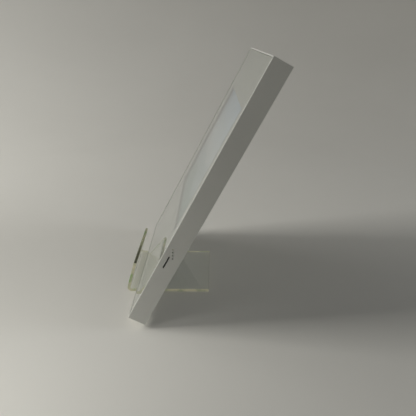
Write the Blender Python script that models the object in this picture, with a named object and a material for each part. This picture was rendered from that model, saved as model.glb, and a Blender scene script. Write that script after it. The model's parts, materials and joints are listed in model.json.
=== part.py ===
"""Digital photo frame: a slim white slab that leans back on a small clear acrylic stand.

The slab is drawn upright in the case's own frame (x across, y from the glass towards the
back cover, z up from the bottom edge) and hangs on an empty that leans it back.
World frame: +Z up, glass facing -Y, origin on the floor under the middle of the whole object.
"""
from math import asin, atan2, cos, pi, radians, sin, tan

import bmesh
import bpy
from mathutils import Matrix, Vector

for old in list(bpy.data.objects):
    bpy.data.objects.remove(old, do_unlink=True)

# ---------------------------------------------------------------- driving dimensions (metres)
FIT = 0.0003                    # clearance between two pieces that touch
OVER = 0.002                    # how far a cutter runs past the face it cuts

CASE_WIDTH = 0.203
CASE_HEIGHT = 0.254
CASE_DEPTH = 0.017
CASE_WALL = 0.0022
CASE_EDGE = 0.0005              # soft outer edge of the moulding
REBATE_WALL = 0.0011            # wall left beside the glass and beside the cover
LEAN = radians(28.0)            # the slab leans back by this much

GLASS_THICK = 0.0015
GLASS_EDGE = 0.0002             # ground edge of the pane
MAT_THICK = 0.0012
FOAM_THICK = 0.0005
FOAM_WIDTH = 0.004
PLATE_THICK = 0.0008            # steel mid plate

PICTURE_WIDTH = 0.162           # lit picture, 4:3
PICTURE_HEIGHT = 0.1215
PICTURE_BOTTOM = 0.0855         # lower edge of the picture above the case's bottom edge
MAT_REVEAL = 0.0005             # mat window larger than the picture by this on each side
MAT_CUT = radians(45.0)         # slope of the mat's cut edge

PANEL_BORDER_SIDE = 0.0105      # panel outline beyond the picture
PANEL_BORDER_END = 0.00975
PANEL_SKIN = 0.0004             # steel of the panel's bezel and tray
PANEL_EDGE = 0.0003
CELL_THICK = 0.0011
CELL_BORDER = 0.003
FILM_THICK = 0.0004
GUIDE_THICK = 0.0015
REFLECTOR_THICK = 0.0002
LED_ROOM = 0.0025               # room for the light strip under the light guide
LED_COUNT = 12
LED_SHARE = 0.35                # of the lamps' pitch that a lamp covers
LED_BOARD = 0.0006

BRACKET_THICK = 0.0008
BRACKET_LENGTH = 0.024
BRACKET_GRIP = 0.006            # how far a bracket reaches over the panel
BRACKET_ABOVE_PANEL_FOOT = 0.026

COVER_THICK = 0.002
COVER_EDGE = 0.0003
BOSS_BITE = 0.0005              # how far a boss runs into the wall
BOSS_FLOOR = 0.0012             # plastic left under a boss's pilot hole
BOSS_RADIUS = 0.0035
SCREW_SHANK = 0.0011
SCREW_HEAD = 0.0022
SCREW_HEAD_THICK = 0.0011
SCREW_CHAMFER = 0.0004
SCREW_TAPER = 0.001
COUNTERBORE_DEPTH = 0.0016
RECESS_DEPTH = 0.0005           # cross recess in every screw head
RECESS_REACH = 0.6              # of the head's radius
RECESS_BAR = 0.28               # of the recess's reach

BOARD_THICK = 0.0014
BOARD_WIDTH = 0.075
BOARD_HEIGHT = 0.044
BOARD_TOP_GAP = 0.0008          # board stops this far under the panel
BOARD_SCREW_INSET = 0.0045
STANDOFF_HEIGHT = 0.0024
STANDOFF_RADIUS = 0.0023
SMALL_SHANK = 0.0008            # board and bracket screws
SMALL_HEAD = 0.0018
SMALL_HEAD_THICK = 0.0012
SMALL_CHAMFER = 0.0003
CARD_SLOT_LENGTH = 0.012
CARD_SLOT_THICK = 0.0014
SOCKET_LENGTH = 0.0145
SOCKET_DEEP = 0.015
SOCKET_THICK = 0.0020
SOCKET_DROP = 0.0002            # socket's top edge under the board's
PINHOLE_RADIUS = 0.0007
PINHOLE_STEP = (0.0012, -0.0027)    # from one pinhole to the next, in y and z
PINHOLE_FIRST = (0.0054, 0.00625)   # in y, and above the main board's top edge
PINHOLE_COUNT = 4
LIGHT_PIPE = 0.0008
LIGHT_PIPE_KNEE = 0.0045        # the pipe turns this far inside the wall

# On the board's back: left, bottom, width, height from its lower left corner, and thickness.
SHIELDS = {"processor_shield": (0.010, 0.012, 0.024, 0.022, 0.0022),
           "wifi_module": (0.037, 0.026, 0.012, 0.014, 0.0020)}
SHIELD_EDGE = 0.0002
CLOCK_CELL_SPOT = (0.062, 0.024)
CLOCK_CELL_RADIUS = 0.006
CLOCK_CELL_THICK = 0.0020
CLOCK_CELL_CHAMFER = 0.0005
HOLDER_WALL = 0.0012
HOLDER_FLOOR = 0.0008
HOLDER_HEIGHT = 0.0028
JACK_SPOT = (0.045, 0.008)
JACK_SIZE = 0.0095
JACK_BORE = 0.0031
JACK_PIN = 0.0009
JACK_PIN_LENGTH = 0.0035
JACK_FLOOR = 0.0015
JACK_HOLE = 0.0040
USB_SPOT = (0.024, 0.0055)
USB_SIZE = (0.0094, 0.0036)
USB_WALL = 0.0005
USB_CORNER = 0.0015
USB_FLOOR = 0.0012
USB_MARGIN = 0.0006             # cover opening round the socket

SPEAKER_SIZE = (0.040, 0.0065, 0.020)
SPEAKER_EDGE = 0.008            # speaker to the case's side wall
SPEAKER_LIFT = 0.0035           # speaker to the case's bottom wall
SPEAKER_SOFT = 0.0008
CONE_SHARE = 0.40               # cone's radius as a share of the speaker's height
CONE_PROFILE = ((0.42, 0.0009), (0.55, 0.0016), (1.0, 0.0004))   # share of the radius, depth
SPEAKER_SLOTS = 7
SPEAKER_SLOT_PITCH = 0.0028
SPEAKER_SLOT_WIDTH = 0.0014
SPEAKER_SLOT_REACH = 0.0065     # half length of the middle slot
SPEAKER_SLOT_STEP = 0.0011      # each slot further out is shorter by this on both ends
LEAD_RADIUS = 0.0006
LEAD_ENTRY = 0.0014             # lead's height on the speaker's end, from the speaker's front face
# Routes of the speaker leads, in x and z: from the speaker's inner end, and from the board's lower left corner.
LEFT_LEAD_START = ((0.0, 0.0), (0.012, -0.003), (0.030, -0.006))
LEFT_LEAD_END = ((-0.022, -0.0172), (-0.006, 0.0), (0.001, 0.010), (0.007, 0.014))
RIGHT_LEAD = ((0.0, 0.0), (-0.005, 0.001), (-0.009, 0.006), (-0.010, 0.012))
FLEX_THICK = 0.0003
FLEX_WIDTH = 0.020
FLEX_APART = 0.020              # between the panel's cable and the button cable
FLEX_OVERLAP = (0.010, 0.030)   # its reach over the board and over the panel
BUTTON_FLEX_WIDTH = 0.008
ANTENNA_SIZE = (0.0006, 0.0065, 0.038)
ANTENNA_BOTTOM = 0.030

BUTTON_COUNT = 5
BUTTON_PITCH = 0.0125
BUTTON_SIZE = (0.0055, 0.0085)
BUTTON_ROUND = 0.9              # corner radius as a share of the half width
BUTTON_EDGE = 0.0003
BUTTON_FLANGE = 0.0008
BUTTON_LIP = 0.0010             # flange wider than the key by this all round
BUTTON_PROUD = 0.0006
BUTTON_TRAVEL = 0.0006
BUTTON_INSET = 0.0115           # button column in from the panel's right-hand edge, which carries its board
BUTTON_BELOW_TOP = 0.082        # middle of the button column below the case's top edge
SWITCH_BOARD_THICK = 0.001
SWITCH_BOARD_WIDTH = 0.012
SWITCH_BODY = 0.0046
SWITCH_STEM = 0.0011
SWITCH_STEM_HEIGHT = 0.0006
JOIN = 0.0002                   # how far joined shapes run into each other
HANGER_SIZE = (0.030, 0.021)    # across and along the keyhole
HANGER_THICK = 0.0008
HANGER_INSET = 0.024
KEYHOLE_BIG = 0.0040
KEYHOLE_SMALL = 0.0021
KEYHOLE_LENGTH = 0.009
VENT_COUNT = 13
VENT_PITCH = 0.006
VENT_SIZE = (0.0018, 0.010)
VENT_BELOW_TOP = 0.037          # middle of the vent row below the case's top edge

SHEET = 0.003                   # acrylic of the stand
STAND_WIDTH = 0.086
STAND_SHIFT = -0.003            # the loose stand sits a little to the left of the middle
STAND_DEPTH = 0.0845
STAND_BEND = 0.0045             # outer radius of the lip's bend
LIP_HEIGHT = 0.0335
LIP_LEAN = radians(16.0)
CASE_SETBACK = 0.0272           # from the lip's foot to the edge that the case stands on
REST_LENGTH = 0.120
REST_CORNER = 0.010
POLISH = 0.0003                 # flame-polished edge of the acrylic

# ---------------------------------------------------------------- derived places
HALF_W = CASE_WIDTH / 2
INNER_HALF_W = HALF_W - CASE_WALL
INNER_BOTTOM = CASE_WALL
INNER_TOP = CASE_HEIGHT - CASE_WALL

GLASS_Y = 0.0002                # glass a hair under the rim
MAT_Y = GLASS_Y + GLASS_THICK + FIT
PLATE_Y = MAT_Y + MAT_THICK + FIT
PLATE_BACK = PLATE_Y + PLATE_THICK
LEDGE_Y = PLATE_BACK + FIT      # the plate, the mat and the glass drop in from the front onto this
COVER_Y = CASE_DEPTH - COVER_THICK
COVER_LEDGE = COVER_Y - FIT

PICTURE_MID = PICTURE_BOTTOM + PICTURE_HEIGHT / 2
PANEL_HALF_W = PICTURE_WIDTH / 2 + PANEL_BORDER_SIDE
PANEL_HALF_H = PICTURE_HEIGHT / 2 + PANEL_BORDER_END
PANEL_BOTTOM = PICTURE_MID - PANEL_HALF_H
PANEL_Y = PLATE_BACK + FIT
CELL_Y = PANEL_Y + PANEL_SKIN + FIT
FILM_Y = CELL_Y + CELL_THICK + FIT
GUIDE_Y = FILM_Y + FILM_THICK + FIT
REFLECTOR_Y = GUIDE_Y + GUIDE_THICK + FIT
TRAY_Y = REFLECTOR_Y + REFLECTOR_THICK + FIT
PANEL_BACK = TRAY_Y + PANEL_SKIN

BRACKET_MIDDLE = PANEL_BOTTOM + BRACKET_ABOVE_PANEL_FOOT
BRACKET_INNER = PANEL_HALF_W + FIT
BRACKET_OUTER = INNER_HALF_W - 2 * FIT
BRACKET_SCREW_X = (BRACKET_INNER + BRACKET_THICK + BRACKET_OUTER) / 2

BOARD_Y = PLATE_BACK + STANDOFF_HEIGHT + FIT
BOARD_BACK = BOARD_Y + BOARD_THICK
BOARD_RIGHT = INNER_HALF_W - FIT
BOARD_LEFT = BOARD_RIGHT - BOARD_WIDTH
BOARD_TOP = PANEL_BOTTOM - BOARD_TOP_GAP
BOARD_BOTTOM = BOARD_TOP - BOARD_HEIGHT
SOCKET_Y = BOARD_Y - FIT - SOCKET_THICK
SOCKET_MID = BOARD_TOP - SOCKET_LENGTH / 2 - SOCKET_DROP
PINHOLE_Z = BOARD_TOP + PINHOLE_FIRST[1]
PILOT_START = LEDGE_Y + BOSS_FLOOR
PILOT_RADIUS = SCREW_SHANK + FIT
SMALL_HOLE = SMALL_SHANK + FIT

BUTTON_X = PANEL_HALF_W - BUTTON_INSET
BUTTON_MIDDLE = CASE_HEIGHT - BUTTON_BELOW_TOP
BUTTON_UNDER = COVER_Y - FIT - BUTTON_FLANGE
SWITCH_BOARD_Y = PANEL_BACK + FIT

LEAN_SIN = sin(LEAN)
LEAN_COS = cos(LEAN)
FOOT_Z = SHEET + FIT            # height of the edge that the case stands on
LENGTH_Y = CASE_SETBACK + CASE_HEIGHT * LEAN_SIN
FRONT_Y = -LENGTH_Y / 2         # foremost line of the lip
FOOT_Y = FRONT_Y + CASE_SETBACK


# ---------------------------------------------------------------- materials
def make_material(name, colour, roughness, metallic=0.0, transmission=0.0):
    material = bpy.data.materials.new(name)
    material.use_nodes = True
    shader = material.node_tree.nodes["Principled BSDF"]
    shader.inputs["Base Color"].default_value = (*colour, 1.0)
    shader.inputs["Roughness"].default_value = roughness
    shader.inputs["Metallic"].default_value = metallic
    shader.inputs["Transmission Weight"].default_value = transmission
    return material


LOOKS = {
    "white_plastic": ((0.80, 0.80, 0.77), 0.45),
    "cover_plastic": ((0.78, 0.78, 0.75), 0.55),
    "button_plastic": ((0.62, 0.62, 0.60), 0.40),
    "inner_plastic": ((0.70, 0.70, 0.68), 0.60),
    "clear_glass": ((0.93, 0.96, 0.94), 0.03, 0.0, 1.0),
    "clear_acrylic": ((0.95, 0.97, 0.93), 0.04, 0.0, 1.0),
    "mat_card": ((0.86, 0.85, 0.80), 0.90),
    "black_foam": ((0.03, 0.03, 0.03), 0.95),
    "bright_steel": ((0.62, 0.62, 0.62), 0.30, 1.0),
    "screw_steel": ((0.50, 0.50, 0.50), 0.35, 1.0),
    "screen_glass": ((0.10, 0.11, 0.13), 0.15),
    "film_plastic": ((0.90, 0.90, 0.90), 0.30),
    "green_board": ((0.05, 0.22, 0.12), 0.50),
    "black_plastic": ((0.04, 0.04, 0.04), 0.50),
    "flex_film": ((0.55, 0.33, 0.10), 0.45),
    "lead_rubber": ((0.08, 0.08, 0.08), 0.60),
}


# ---------------------------------------------------------------- shape helpers
def add_box(bm, low, high):
    """One closed block between two corners."""
    size = Vector(high) - Vector(low)
    middle = (Vector(high) + Vector(low)) / 2
    place = Matrix.Translation(middle) @ Matrix.Diagonal((*size, 1.0))
    bmesh.ops.create_cube(bm, size=1.0, matrix=place)


def add_turned(bm, centre, profile, sides=20, axis="Y"):
    """A turned body: profile is (radius, distance along the axis) and starts and ends at radius 0."""
    turn = {"X": Matrix.Rotation(pi / 2, 4, "Y"), "Y": Matrix.Rotation(-pi / 2, 4, "X"),
            "Z": Matrix.Identity(4)}[axis]
    rows = []
    for radius, height in profile:
        count = sides if radius > 0 else 1
        angles = [2 * pi * step / sides for step in range(count)]
        points = [Vector((radius * cos(a), radius * sin(a), height)) for a in angles]
        rows.append([bm.verts.new(Vector(centre) + turn @ point) for point in points])
    for lower, upper in zip(rows, rows[1:]):
        for step in range(sides):
            after = (step + 1) % sides
            corners = [lower[step % len(lower)], lower[after % len(lower)],
                       upper[after % len(upper)], upper[step % len(upper)]]
            unique = list(dict.fromkeys(corners))
            bm.faces.new(unique)


def add_rod(bm, centre, radius, low, high, sides=16, axis="Y"):
    """A plain round bar between two distances along its axis."""
    add_turned(bm, centre, [(0, low), (radius, low), (radius, high), (0, high)], sides, axis)


def add_prism(bm, outline, low, high, axis):
    """An outline of two coordinates, extruded along the third axis."""
    def point(pair, along):
        spots = list(pair)
        spots.insert("XYZ".index(axis), along)
        return bm.verts.new(spots)

    floor = [point(pair, low) for pair in outline]
    roof = [point(pair, high) for pair in outline]
    bm.faces.new(floor)
    bm.faces.new(list(reversed(roof)))
    for step, corner in enumerate(floor):
        after = (step + 1) % len(floor)
        bm.faces.new([floor[after], corner, roof[step], roof[after]])


def arc(centre, radius, start, end, steps):
    """Points on a circle in the plane, from one angle to another, both ends included."""
    sweep = [start + (end - start) * step / steps for step in range(steps + 1)]
    return [(centre[0] + radius * cos(a), centre[1] + radius * sin(a)) for a in sweep]


def rounded_rectangle(low, high, radius, steps=4):
    """Outline of a rectangle with round corners."""
    corners = [((high[0] - radius, low[1] + radius), -pi / 2), ((high[0] - radius, high[1] - radius), 0.0),
               ((low[0] + radius, high[1] - radius), pi / 2), ((low[0] + radius, low[1] + radius), pi)]
    outline = []
    for centre, start in corners:
        outline += arc(centre, radius, start, start + pi / 2, steps)
    return outline


def make_object(name, bm, parent, origin=None):
    bmesh.ops.recalc_face_normals(bm, faces=bm.faces)
    if origin is None:
        lows = [min(v.co[i] for v in bm.verts) for i in range(3)]
        highs = [max(v.co[i] for v in bm.verts) for i in range(3)]
        origin = (Vector(lows) + Vector(highs)) / 2
    bmesh.ops.translate(bm, verts=bm.verts, vec=-Vector(origin))
    mesh = bpy.data.meshes.new(name)
    bm.to_mesh(mesh)
    bm.free()
    thing = bpy.data.objects.new(name, mesh)
    thing.location = origin
    thing.parent = parent
    bpy.context.scene.collection.objects.link(thing)
    return thing


def make_node(name, bm, look, parent, origin=None, smooth=False):
    """A sub-part with its own material; its origin is its middle unless one is given."""
    node = make_object(name, bm, parent, origin)
    node.data.materials.append(make_material(name + "_" + look, *LOOKS[look]))
    if smooth:
        node.data.shade_smooth()
        node.data.set_sharp_from_angle(angle=radians(35.0))
    return node


def block(name, low, high, look, parent, edge=0.0):
    bm = bmesh.new()
    add_box(bm, low, high)
    node = make_node(name, bm, look, parent)
    if edge > 0:
        soften(node, edge)
    return node


def soften(node, width, segments=2):
    bevel = node.modifiers.new("soft_edges", "BEVEL")
    bevel.width = width
    bevel.segments = segments
    bevel.limit_method = "ANGLE"
    bevel.angle_limit = radians(40.0)


def shape_with(node, bm, name, operation="DIFFERENCE", parent=None):
    """Cuts a tool shape out of a node, or joins it on. The tool lies in the node's frame, or in parent's."""
    tool = make_object(name, bm, parent or node.parent)
    tool.hide_render = True
    tool.display_type = "WIRE"
    boolean = node.modifiers.new(name, "BOOLEAN")
    boolean.operation = operation
    boolean.object = tool
    boolean.solver = "EXACT"


def make_empty(name, location, angle=0.0):
    empty = bpy.data.objects.new(name, None)
    empty.location = location
    empty.rotation_euler = (angle, 0.0, 0.0)
    bpy.context.scene.collection.objects.link(empty)
    return empty


# ---------------------------------------------------------------- shared layouts
def boss_places():
    """Eight screw bosses against the inner wall: four corners and four side middles."""
    inset = BOSS_RADIUS - BOSS_BITE
    right = INNER_HALF_W - inset
    top = INNER_TOP - inset
    bottom = INNER_BOTTOM + inset
    middle = CASE_HEIGHT / 2
    return [(-right, bottom), (0.0, bottom), (right, bottom), (right, middle),
            (right, top), (0.0, top), (-right, top), (-right, middle)]


def button_places():
    start = BUTTON_MIDDLE + BUTTON_PITCH * (BUTTON_COUNT - 1) / 2
    return [start - BUTTON_PITCH * step for step in range(BUTTON_COUNT)]


def board_screw_places():
    """Four board screws; the upper right one stands clear of the card socket."""
    left = BOARD_LEFT + BOARD_SCREW_INSET
    right = BOARD_RIGHT - BOARD_SCREW_INSET
    bottom = BOARD_BOTTOM + BOARD_SCREW_INSET
    top = BOARD_TOP - BOARD_SCREW_INSET
    return [(left, bottom), (right, bottom), (left, top), (right - SOCKET_DEEP, top)]


def speaker_middles():
    reach = INNER_HALF_W - SPEAKER_EDGE - SPEAKER_SIZE[0] / 2
    height = INNER_BOTTOM + SPEAKER_LIFT + SPEAKER_SIZE[2] / 2
    return {"left": (-reach, height), "right": (reach, height)}


def keyhole_outline(centre, direction):
    """A keyhole: round entry, and a slot that runs off in one direction."""
    turn = atan2(direction[1], direction[0])
    meet = asin(KEYHOLE_SMALL / KEYHOLE_BIG)
    entry = arc((0.0, 0.0), KEYHOLE_BIG, meet, 2 * pi - meet, 14)
    tail = arc((KEYHOLE_LENGTH, 0.0), KEYHOLE_SMALL, -pi / 2, pi / 2, 8)
    points = entry + tail
    return [(centre[0] + x * cos(turn) - z * sin(turn), centre[1] + x * sin(turn) + z * cos(turn))
            for x, z in points]


KEYHOLES = {"portrait": ((0.0, CASE_HEIGHT - HANGER_INSET), (0.0, 1.0)),
            "landscape": ((-HALF_W + HANGER_INSET, CASE_HEIGHT / 2), (-1.0, 0.0))}


# ---------------------------------------------------------------- the case
def build_shell(case):
    """The white moulding: a deep rim with a rebate for the glass and one for the cover."""
    bm = bmesh.new()
    add_box(bm, (-HALF_W, 0.0, 0.0), (HALF_W, CASE_DEPTH, CASE_HEIGHT))
    shell = make_node("front_shell", bm, "white_plastic", case)
    soften(shell, CASE_EDGE)

    steps = [(REBATE_WALL, -OVER, LEDGE_Y), (CASE_WALL, -OVER, CASE_DEPTH + OVER),
             (REBATE_WALL, COVER_LEDGE, CASE_DEPTH + OVER)]
    for number, (wall, start, end) in enumerate(steps):
        bm = bmesh.new()
        add_box(bm, (-HALF_W + wall, start, wall), (HALF_W - wall, end, CASE_HEIGHT - wall))
        shape_with(shell, bm, "shell_hollow_%d" % number)

    bm = bmesh.new()
    for x, z in boss_places():
        add_rod(bm, (x, 0.0, z), BOSS_RADIUS, LEDGE_Y, COVER_LEDGE, 20)
    shape_with(shell, bm, "shell_bosses", "UNION")

    bm = bmesh.new()
    for x, z in boss_places():
        add_rod(bm, (x, 0.0, z), PILOT_RADIUS, PILOT_START, CASE_DEPTH, 14)
    shape_with(shell, bm, "shell_pilot_holes")

    bm = bmesh.new()
    slot_y = SOCKET_Y + SOCKET_THICK / 2
    add_box(bm, (INNER_HALF_W - OVER, slot_y - CARD_SLOT_THICK / 2, SOCKET_MID - CARD_SLOT_LENGTH / 2),
            (HALF_W + OVER, slot_y + CARD_SLOT_THICK / 2, SOCKET_MID + CARD_SLOT_LENGTH / 2))
    for step in range(PINHOLE_COUNT):
        y = PINHOLE_FIRST[0] + PINHOLE_STEP[0] * step
        z = PINHOLE_Z + PINHOLE_STEP[1] * step
        add_rod(bm, (0.0, y, z), PINHOLE_RADIUS, INNER_HALF_W - OVER, HALF_W + OVER, 12, "X")
    shape_with(shell, bm, "side_slot_and_pinholes")


def build_glass(case):
    """The clear pane, bonded flush in the front rebate."""
    gap = REBATE_WALL + FIT
    block("cover_glass", (-HALF_W + gap, GLASS_Y, gap),
          (HALF_W - gap, GLASS_Y + GLASS_THICK, CASE_HEIGHT - gap), "clear_glass", case, GLASS_EDGE)


def full_sheet(name, low_y, thick, look, case):
    """A sheet that fills the front rebate."""
    gap = REBATE_WALL + FIT
    high = (HALF_W - gap, low_y + thick, CASE_HEIGHT - gap)
    return block(name, (-HALF_W + gap, low_y, gap), high, look, case)


def build_mat(case):
    """Card mat; its window is cut on a slope that widens towards the glass."""
    mat = full_sheet("mat_board", MAT_Y, MAT_THICK, "mat_card", case)
    bm = bmesh.new()
    add_box(bm, (-PICTURE_WIDTH / 2 - MAT_REVEAL, MAT_Y - OVER, PICTURE_BOTTOM - MAT_REVEAL),
            (PICTURE_WIDTH / 2 + MAT_REVEAL, MAT_Y + MAT_THICK + OVER,
             PICTURE_BOTTOM + PICTURE_HEIGHT + MAT_REVEAL))
    for vert in bm.verts:
        run = (MAT_Y + MAT_THICK - vert.co.y) * tan(MAT_CUT)
        vert.co.x += run if vert.co.x > 0 else -run
        vert.co.z += run if vert.co.z > PICTURE_MID else -run
    shape_with(mat, bm, "mat_window")


def build_mid_plate(case):
    """Steel plate that carries the panel and the boards, with pressed-in standoffs."""
    plate = full_sheet("mid_plate", PLATE_Y, PLATE_THICK, "bright_steel", case)
    bm = bmesh.new()
    room = MAT_REVEAL + FOAM_WIDTH + 2 * FIT
    add_box(bm, (-PICTURE_WIDTH / 2 - room, PLATE_Y - OVER, PICTURE_BOTTOM - room),
            (PICTURE_WIDTH / 2 + room, PLATE_BACK + OVER, PICTURE_BOTTOM + PICTURE_HEIGHT + room))
    shape_with(plate, bm, "mid_plate_window")
    bm = bmesh.new()
    for x, z in board_screw_places():
        add_rod(bm, (x, 0.0, z), STANDOFF_RADIUS, PLATE_BACK - JOIN, PLATE_BACK + STANDOFF_HEIGHT)
    shape_with(plate, bm, "mid_plate_standoffs", "UNION")
    bm = bmesh.new()
    for x, z in board_screw_places():
        add_rod(bm, (x, 0.0, z), SMALL_HOLE, PLATE_BACK + FIT, BOARD_Y + OVER, 12)
    for side in (-1, 1):
        spot = (side * BRACKET_SCREW_X, 0.0, BRACKET_MIDDLE)
        add_rod(bm, spot, SMALL_HOLE, PLATE_Y - OVER, PLATE_BACK + OVER, 12)
    shape_with(plate, bm, "mid_plate_holes")


def build_foam(case):
    """Dust seal: a thin foam ring inside the plate's window, between the mat and the panel."""
    inner_w = PICTURE_WIDTH / 2 + MAT_REVEAL
    inner_h = PICTURE_HEIGHT / 2 + MAT_REVEAL
    outer_w = inner_w + FOAM_WIDTH
    outer_h = inner_h + FOAM_WIDTH
    start = MAT_Y + MAT_THICK + FIT
    end = PANEL_Y - FIT
    frame_ring("foam_gasket", (inner_w, inner_h), (outer_w, outer_h), start, end, "black_foam", case)


def frame_ring(name, inner, outer, start, end, look, case):
    """A rectangular ring round the picture."""
    ring = block(name, (-outer[0], start, PICTURE_MID - outer[1]), (outer[0], end, PICTURE_MID + outer[1]),
                 look, case)
    bm = bmesh.new()
    add_box(bm, (-inner[0], start - OVER, PICTURE_MID - inner[1]),
            (inner[0], end + OVER, PICTURE_MID + inner[1]))
    shape_with(ring, bm, name + "_opening")


# ---------------------------------------------------------------- the display panel
def build_panel(case):
    """An edge-lit liquid-crystal panel, layer by layer from the glass side."""
    def layer(name, border, low_y, thick, look, lift=0.0):
        half_w = PICTURE_WIDTH / 2 + border
        half_h = PICTURE_HEIGHT / 2 + border
        block(name, (-half_w, low_y, PICTURE_MID - half_h + lift),
              (half_w, low_y + thick, PICTURE_MID + half_h), look, case)

    bezel = block("panel_bezel", (-PANEL_HALF_W, PANEL_Y, PICTURE_MID - PANEL_HALF_H),
                  (PANEL_HALF_W, PANEL_BACK, PICTURE_MID + PANEL_HALF_H), "bright_steel", case, PANEL_EDGE)
    bm = bmesh.new()
    add_box(bm, (-PANEL_HALF_W + PANEL_SKIN, PANEL_Y + PANEL_SKIN, PICTURE_MID - PANEL_HALF_H + PANEL_SKIN),
            (PANEL_HALF_W - PANEL_SKIN, PANEL_BACK + OVER, PICTURE_MID + PANEL_HALF_H - PANEL_SKIN))
    shape_with(bezel, bm, "bezel_hollow")
    bm = bmesh.new()
    add_box(bm, (-PICTURE_WIDTH / 2 - MAT_REVEAL, PANEL_Y - OVER, PICTURE_BOTTOM - MAT_REVEAL),
            (PICTURE_WIDTH / 2 + MAT_REVEAL, PANEL_BACK, PICTURE_BOTTOM + PICTURE_HEIGHT + MAT_REVEAL))
    shape_with(bezel, bm, "bezel_window")

    layer("lcd_cell", CELL_BORDER, CELL_Y, CELL_THICK, "screen_glass")
    layer("optical_films", CELL_BORDER, FILM_Y, FILM_THICK, "film_plastic")
    layer("light_guide", CELL_BORDER, GUIDE_Y, GUIDE_THICK, "clear_acrylic", LED_ROOM)
    layer("reflector_sheet", CELL_BORDER, REFLECTOR_Y, REFLECTOR_THICK, "film_plastic")

    ring_inner = (PICTURE_WIDTH / 2 + CELL_BORDER + FIT, PICTURE_HEIGHT / 2 + CELL_BORDER + FIT)
    ring_outer = (PANEL_HALF_W - PANEL_SKIN - FIT, PANEL_HALF_H - PANEL_SKIN - FIT)
    frame_ring("panel_frame", ring_inner, ring_outer, CELL_Y, TRAY_Y - FIT, "inner_plastic", case)
    block("panel_tray", (-ring_outer[0], TRAY_Y, PICTURE_MID - ring_outer[1]),
          (ring_outer[0], PANEL_BACK, PICTURE_MID + ring_outer[1]), "bright_steel", case)
    build_led_strip(case)


def build_led_strip(case):
    """Light strip under the light guide: a thin board with a comb of small lamps on it."""
    half = PICTURE_WIDTH / 2 + CELL_BORDER - FIT
    foot = PICTURE_MID - PICTURE_HEIGHT / 2 - CELL_BORDER + FIT
    board_top = foot + LED_BOARD
    lamp_top = foot + LED_ROOM - 2 * FIT
    pitch = 2 * half / LED_COUNT
    lamp = pitch * LED_SHARE
    outline = [(-half, foot), (half, foot), (half, board_top)]
    for step in reversed(range(LED_COUNT)):
        middle = -half + pitch * (step + 0.5)
        outline += [(middle + lamp / 2, board_top), (middle + lamp / 2, lamp_top),
                    (middle - lamp / 2, lamp_top), (middle - lamp / 2, board_top)]
    outline.append((-half, board_top))
    bm = bmesh.new()
    add_prism(bm, outline, GUIDE_Y, GUIDE_Y + GUIDE_THICK, "Y")
    make_node("led_strip", bm, "film_plastic", case)


def build_brackets(case):
    """Two bent steel clips, each screwed to the mid plate beside the panel, hold it from behind."""
    foot_y = PLATE_BACK + FIT
    grip_y = PANEL_BACK + FIT
    low = BRACKET_MIDDLE - BRACKET_LENGTH / 2
    outline = [(BRACKET_INNER, foot_y), (BRACKET_OUTER, foot_y), (BRACKET_OUTER, foot_y + BRACKET_THICK),
               (BRACKET_INNER + BRACKET_THICK, foot_y + BRACKET_THICK),
               (BRACKET_INNER + BRACKET_THICK, grip_y + BRACKET_THICK),
               (BRACKET_INNER - BRACKET_GRIP, grip_y + BRACKET_THICK), (BRACKET_INNER - BRACKET_GRIP, grip_y),
               (BRACKET_INNER, grip_y)]
    for side, word in ((-1, "left"), (1, "right")):
        bm = bmesh.new()
        add_prism(bm, [(side * x, y) for x, y in outline], low, low + BRACKET_LENGTH, "Z")
        bracket = make_node("panel_bracket_" + word, bm, "bright_steel", case)
        spot = (side * BRACKET_SCREW_X, BRACKET_MIDDLE)
        bm = bmesh.new()
        add_rod(bm, (spot[0], 0.0, spot[1]), SMALL_HOLE, foot_y - OVER, foot_y + BRACKET_THICK + FIT, 12)
        shape_with(bracket, bm, "bracket_hole_" + word)
        small_screw("bracket_screw_" + word, spot, foot_y + BRACKET_THICK + FIT, PLATE_Y + FIT, case)


def small_screw(name, spot, head_y, tip_y, case):
    """A pan-head machine screw that points towards the glass."""
    bm = bmesh.new()
    crown = head_y + SMALL_HEAD_THICK
    profile = [(0, tip_y), (SMALL_SHANK, tip_y), (SMALL_SHANK, head_y), (SMALL_HEAD, head_y),
               (SMALL_HEAD, crown - SMALL_CHAMFER), (SMALL_HEAD - SMALL_CHAMFER, crown), (0, crown)]
    add_turned(bm, (spot[0], 0.0, spot[1]), profile, 14)
    screw = make_node(name, bm, "screw_steel", case, smooth=True)
    cross_recess(screw, (spot[0], crown, spot[1]), SMALL_HEAD)


def cross_recess(screw, spot, head_radius):
    """A cross-shaped socket in a screw's crown."""
    reach = head_radius * RECESS_REACH
    bar = reach * RECESS_BAR
    outline = [(-bar, -reach), (bar, -reach), (bar, -bar), (reach, -bar), (reach, bar), (bar, bar),
               (bar, reach), (-bar, reach), (-bar, bar), (-reach, bar), (-reach, -bar), (-bar, -bar)]
    bm = bmesh.new()
    add_prism(bm, [(spot[0] + x, spot[2] + z) for x, z in outline], spot[1] - RECESS_DEPTH, spot[1] + OVER, "Y")
    shape_with(screw, bm, screw.name + "_recess")


# ---------------------------------------------------------------- electronics
def build_main_board(case):
    board = block("main_board", (BOARD_LEFT, BOARD_Y, BOARD_BOTTOM), (BOARD_RIGHT, BOARD_BACK, BOARD_TOP),
                  "green_board", case)
    bm = bmesh.new()
    for x, z in board_screw_places():
        add_rod(bm, (x, 0.0, z), SMALL_HOLE, BOARD_Y - OVER, BOARD_BACK + OVER, 12)
    shape_with(board, bm, "main_board_holes")
    for number, spot in enumerate(board_screw_places(), 1):
        small_screw("board_screw_%d" % number, spot, BOARD_BACK + FIT, PLATE_BACK + 2 * FIT, case)


def board_spot(offset):
    return BOARD_LEFT + offset[0], BOARD_BOTTOM + offset[1]


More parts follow.
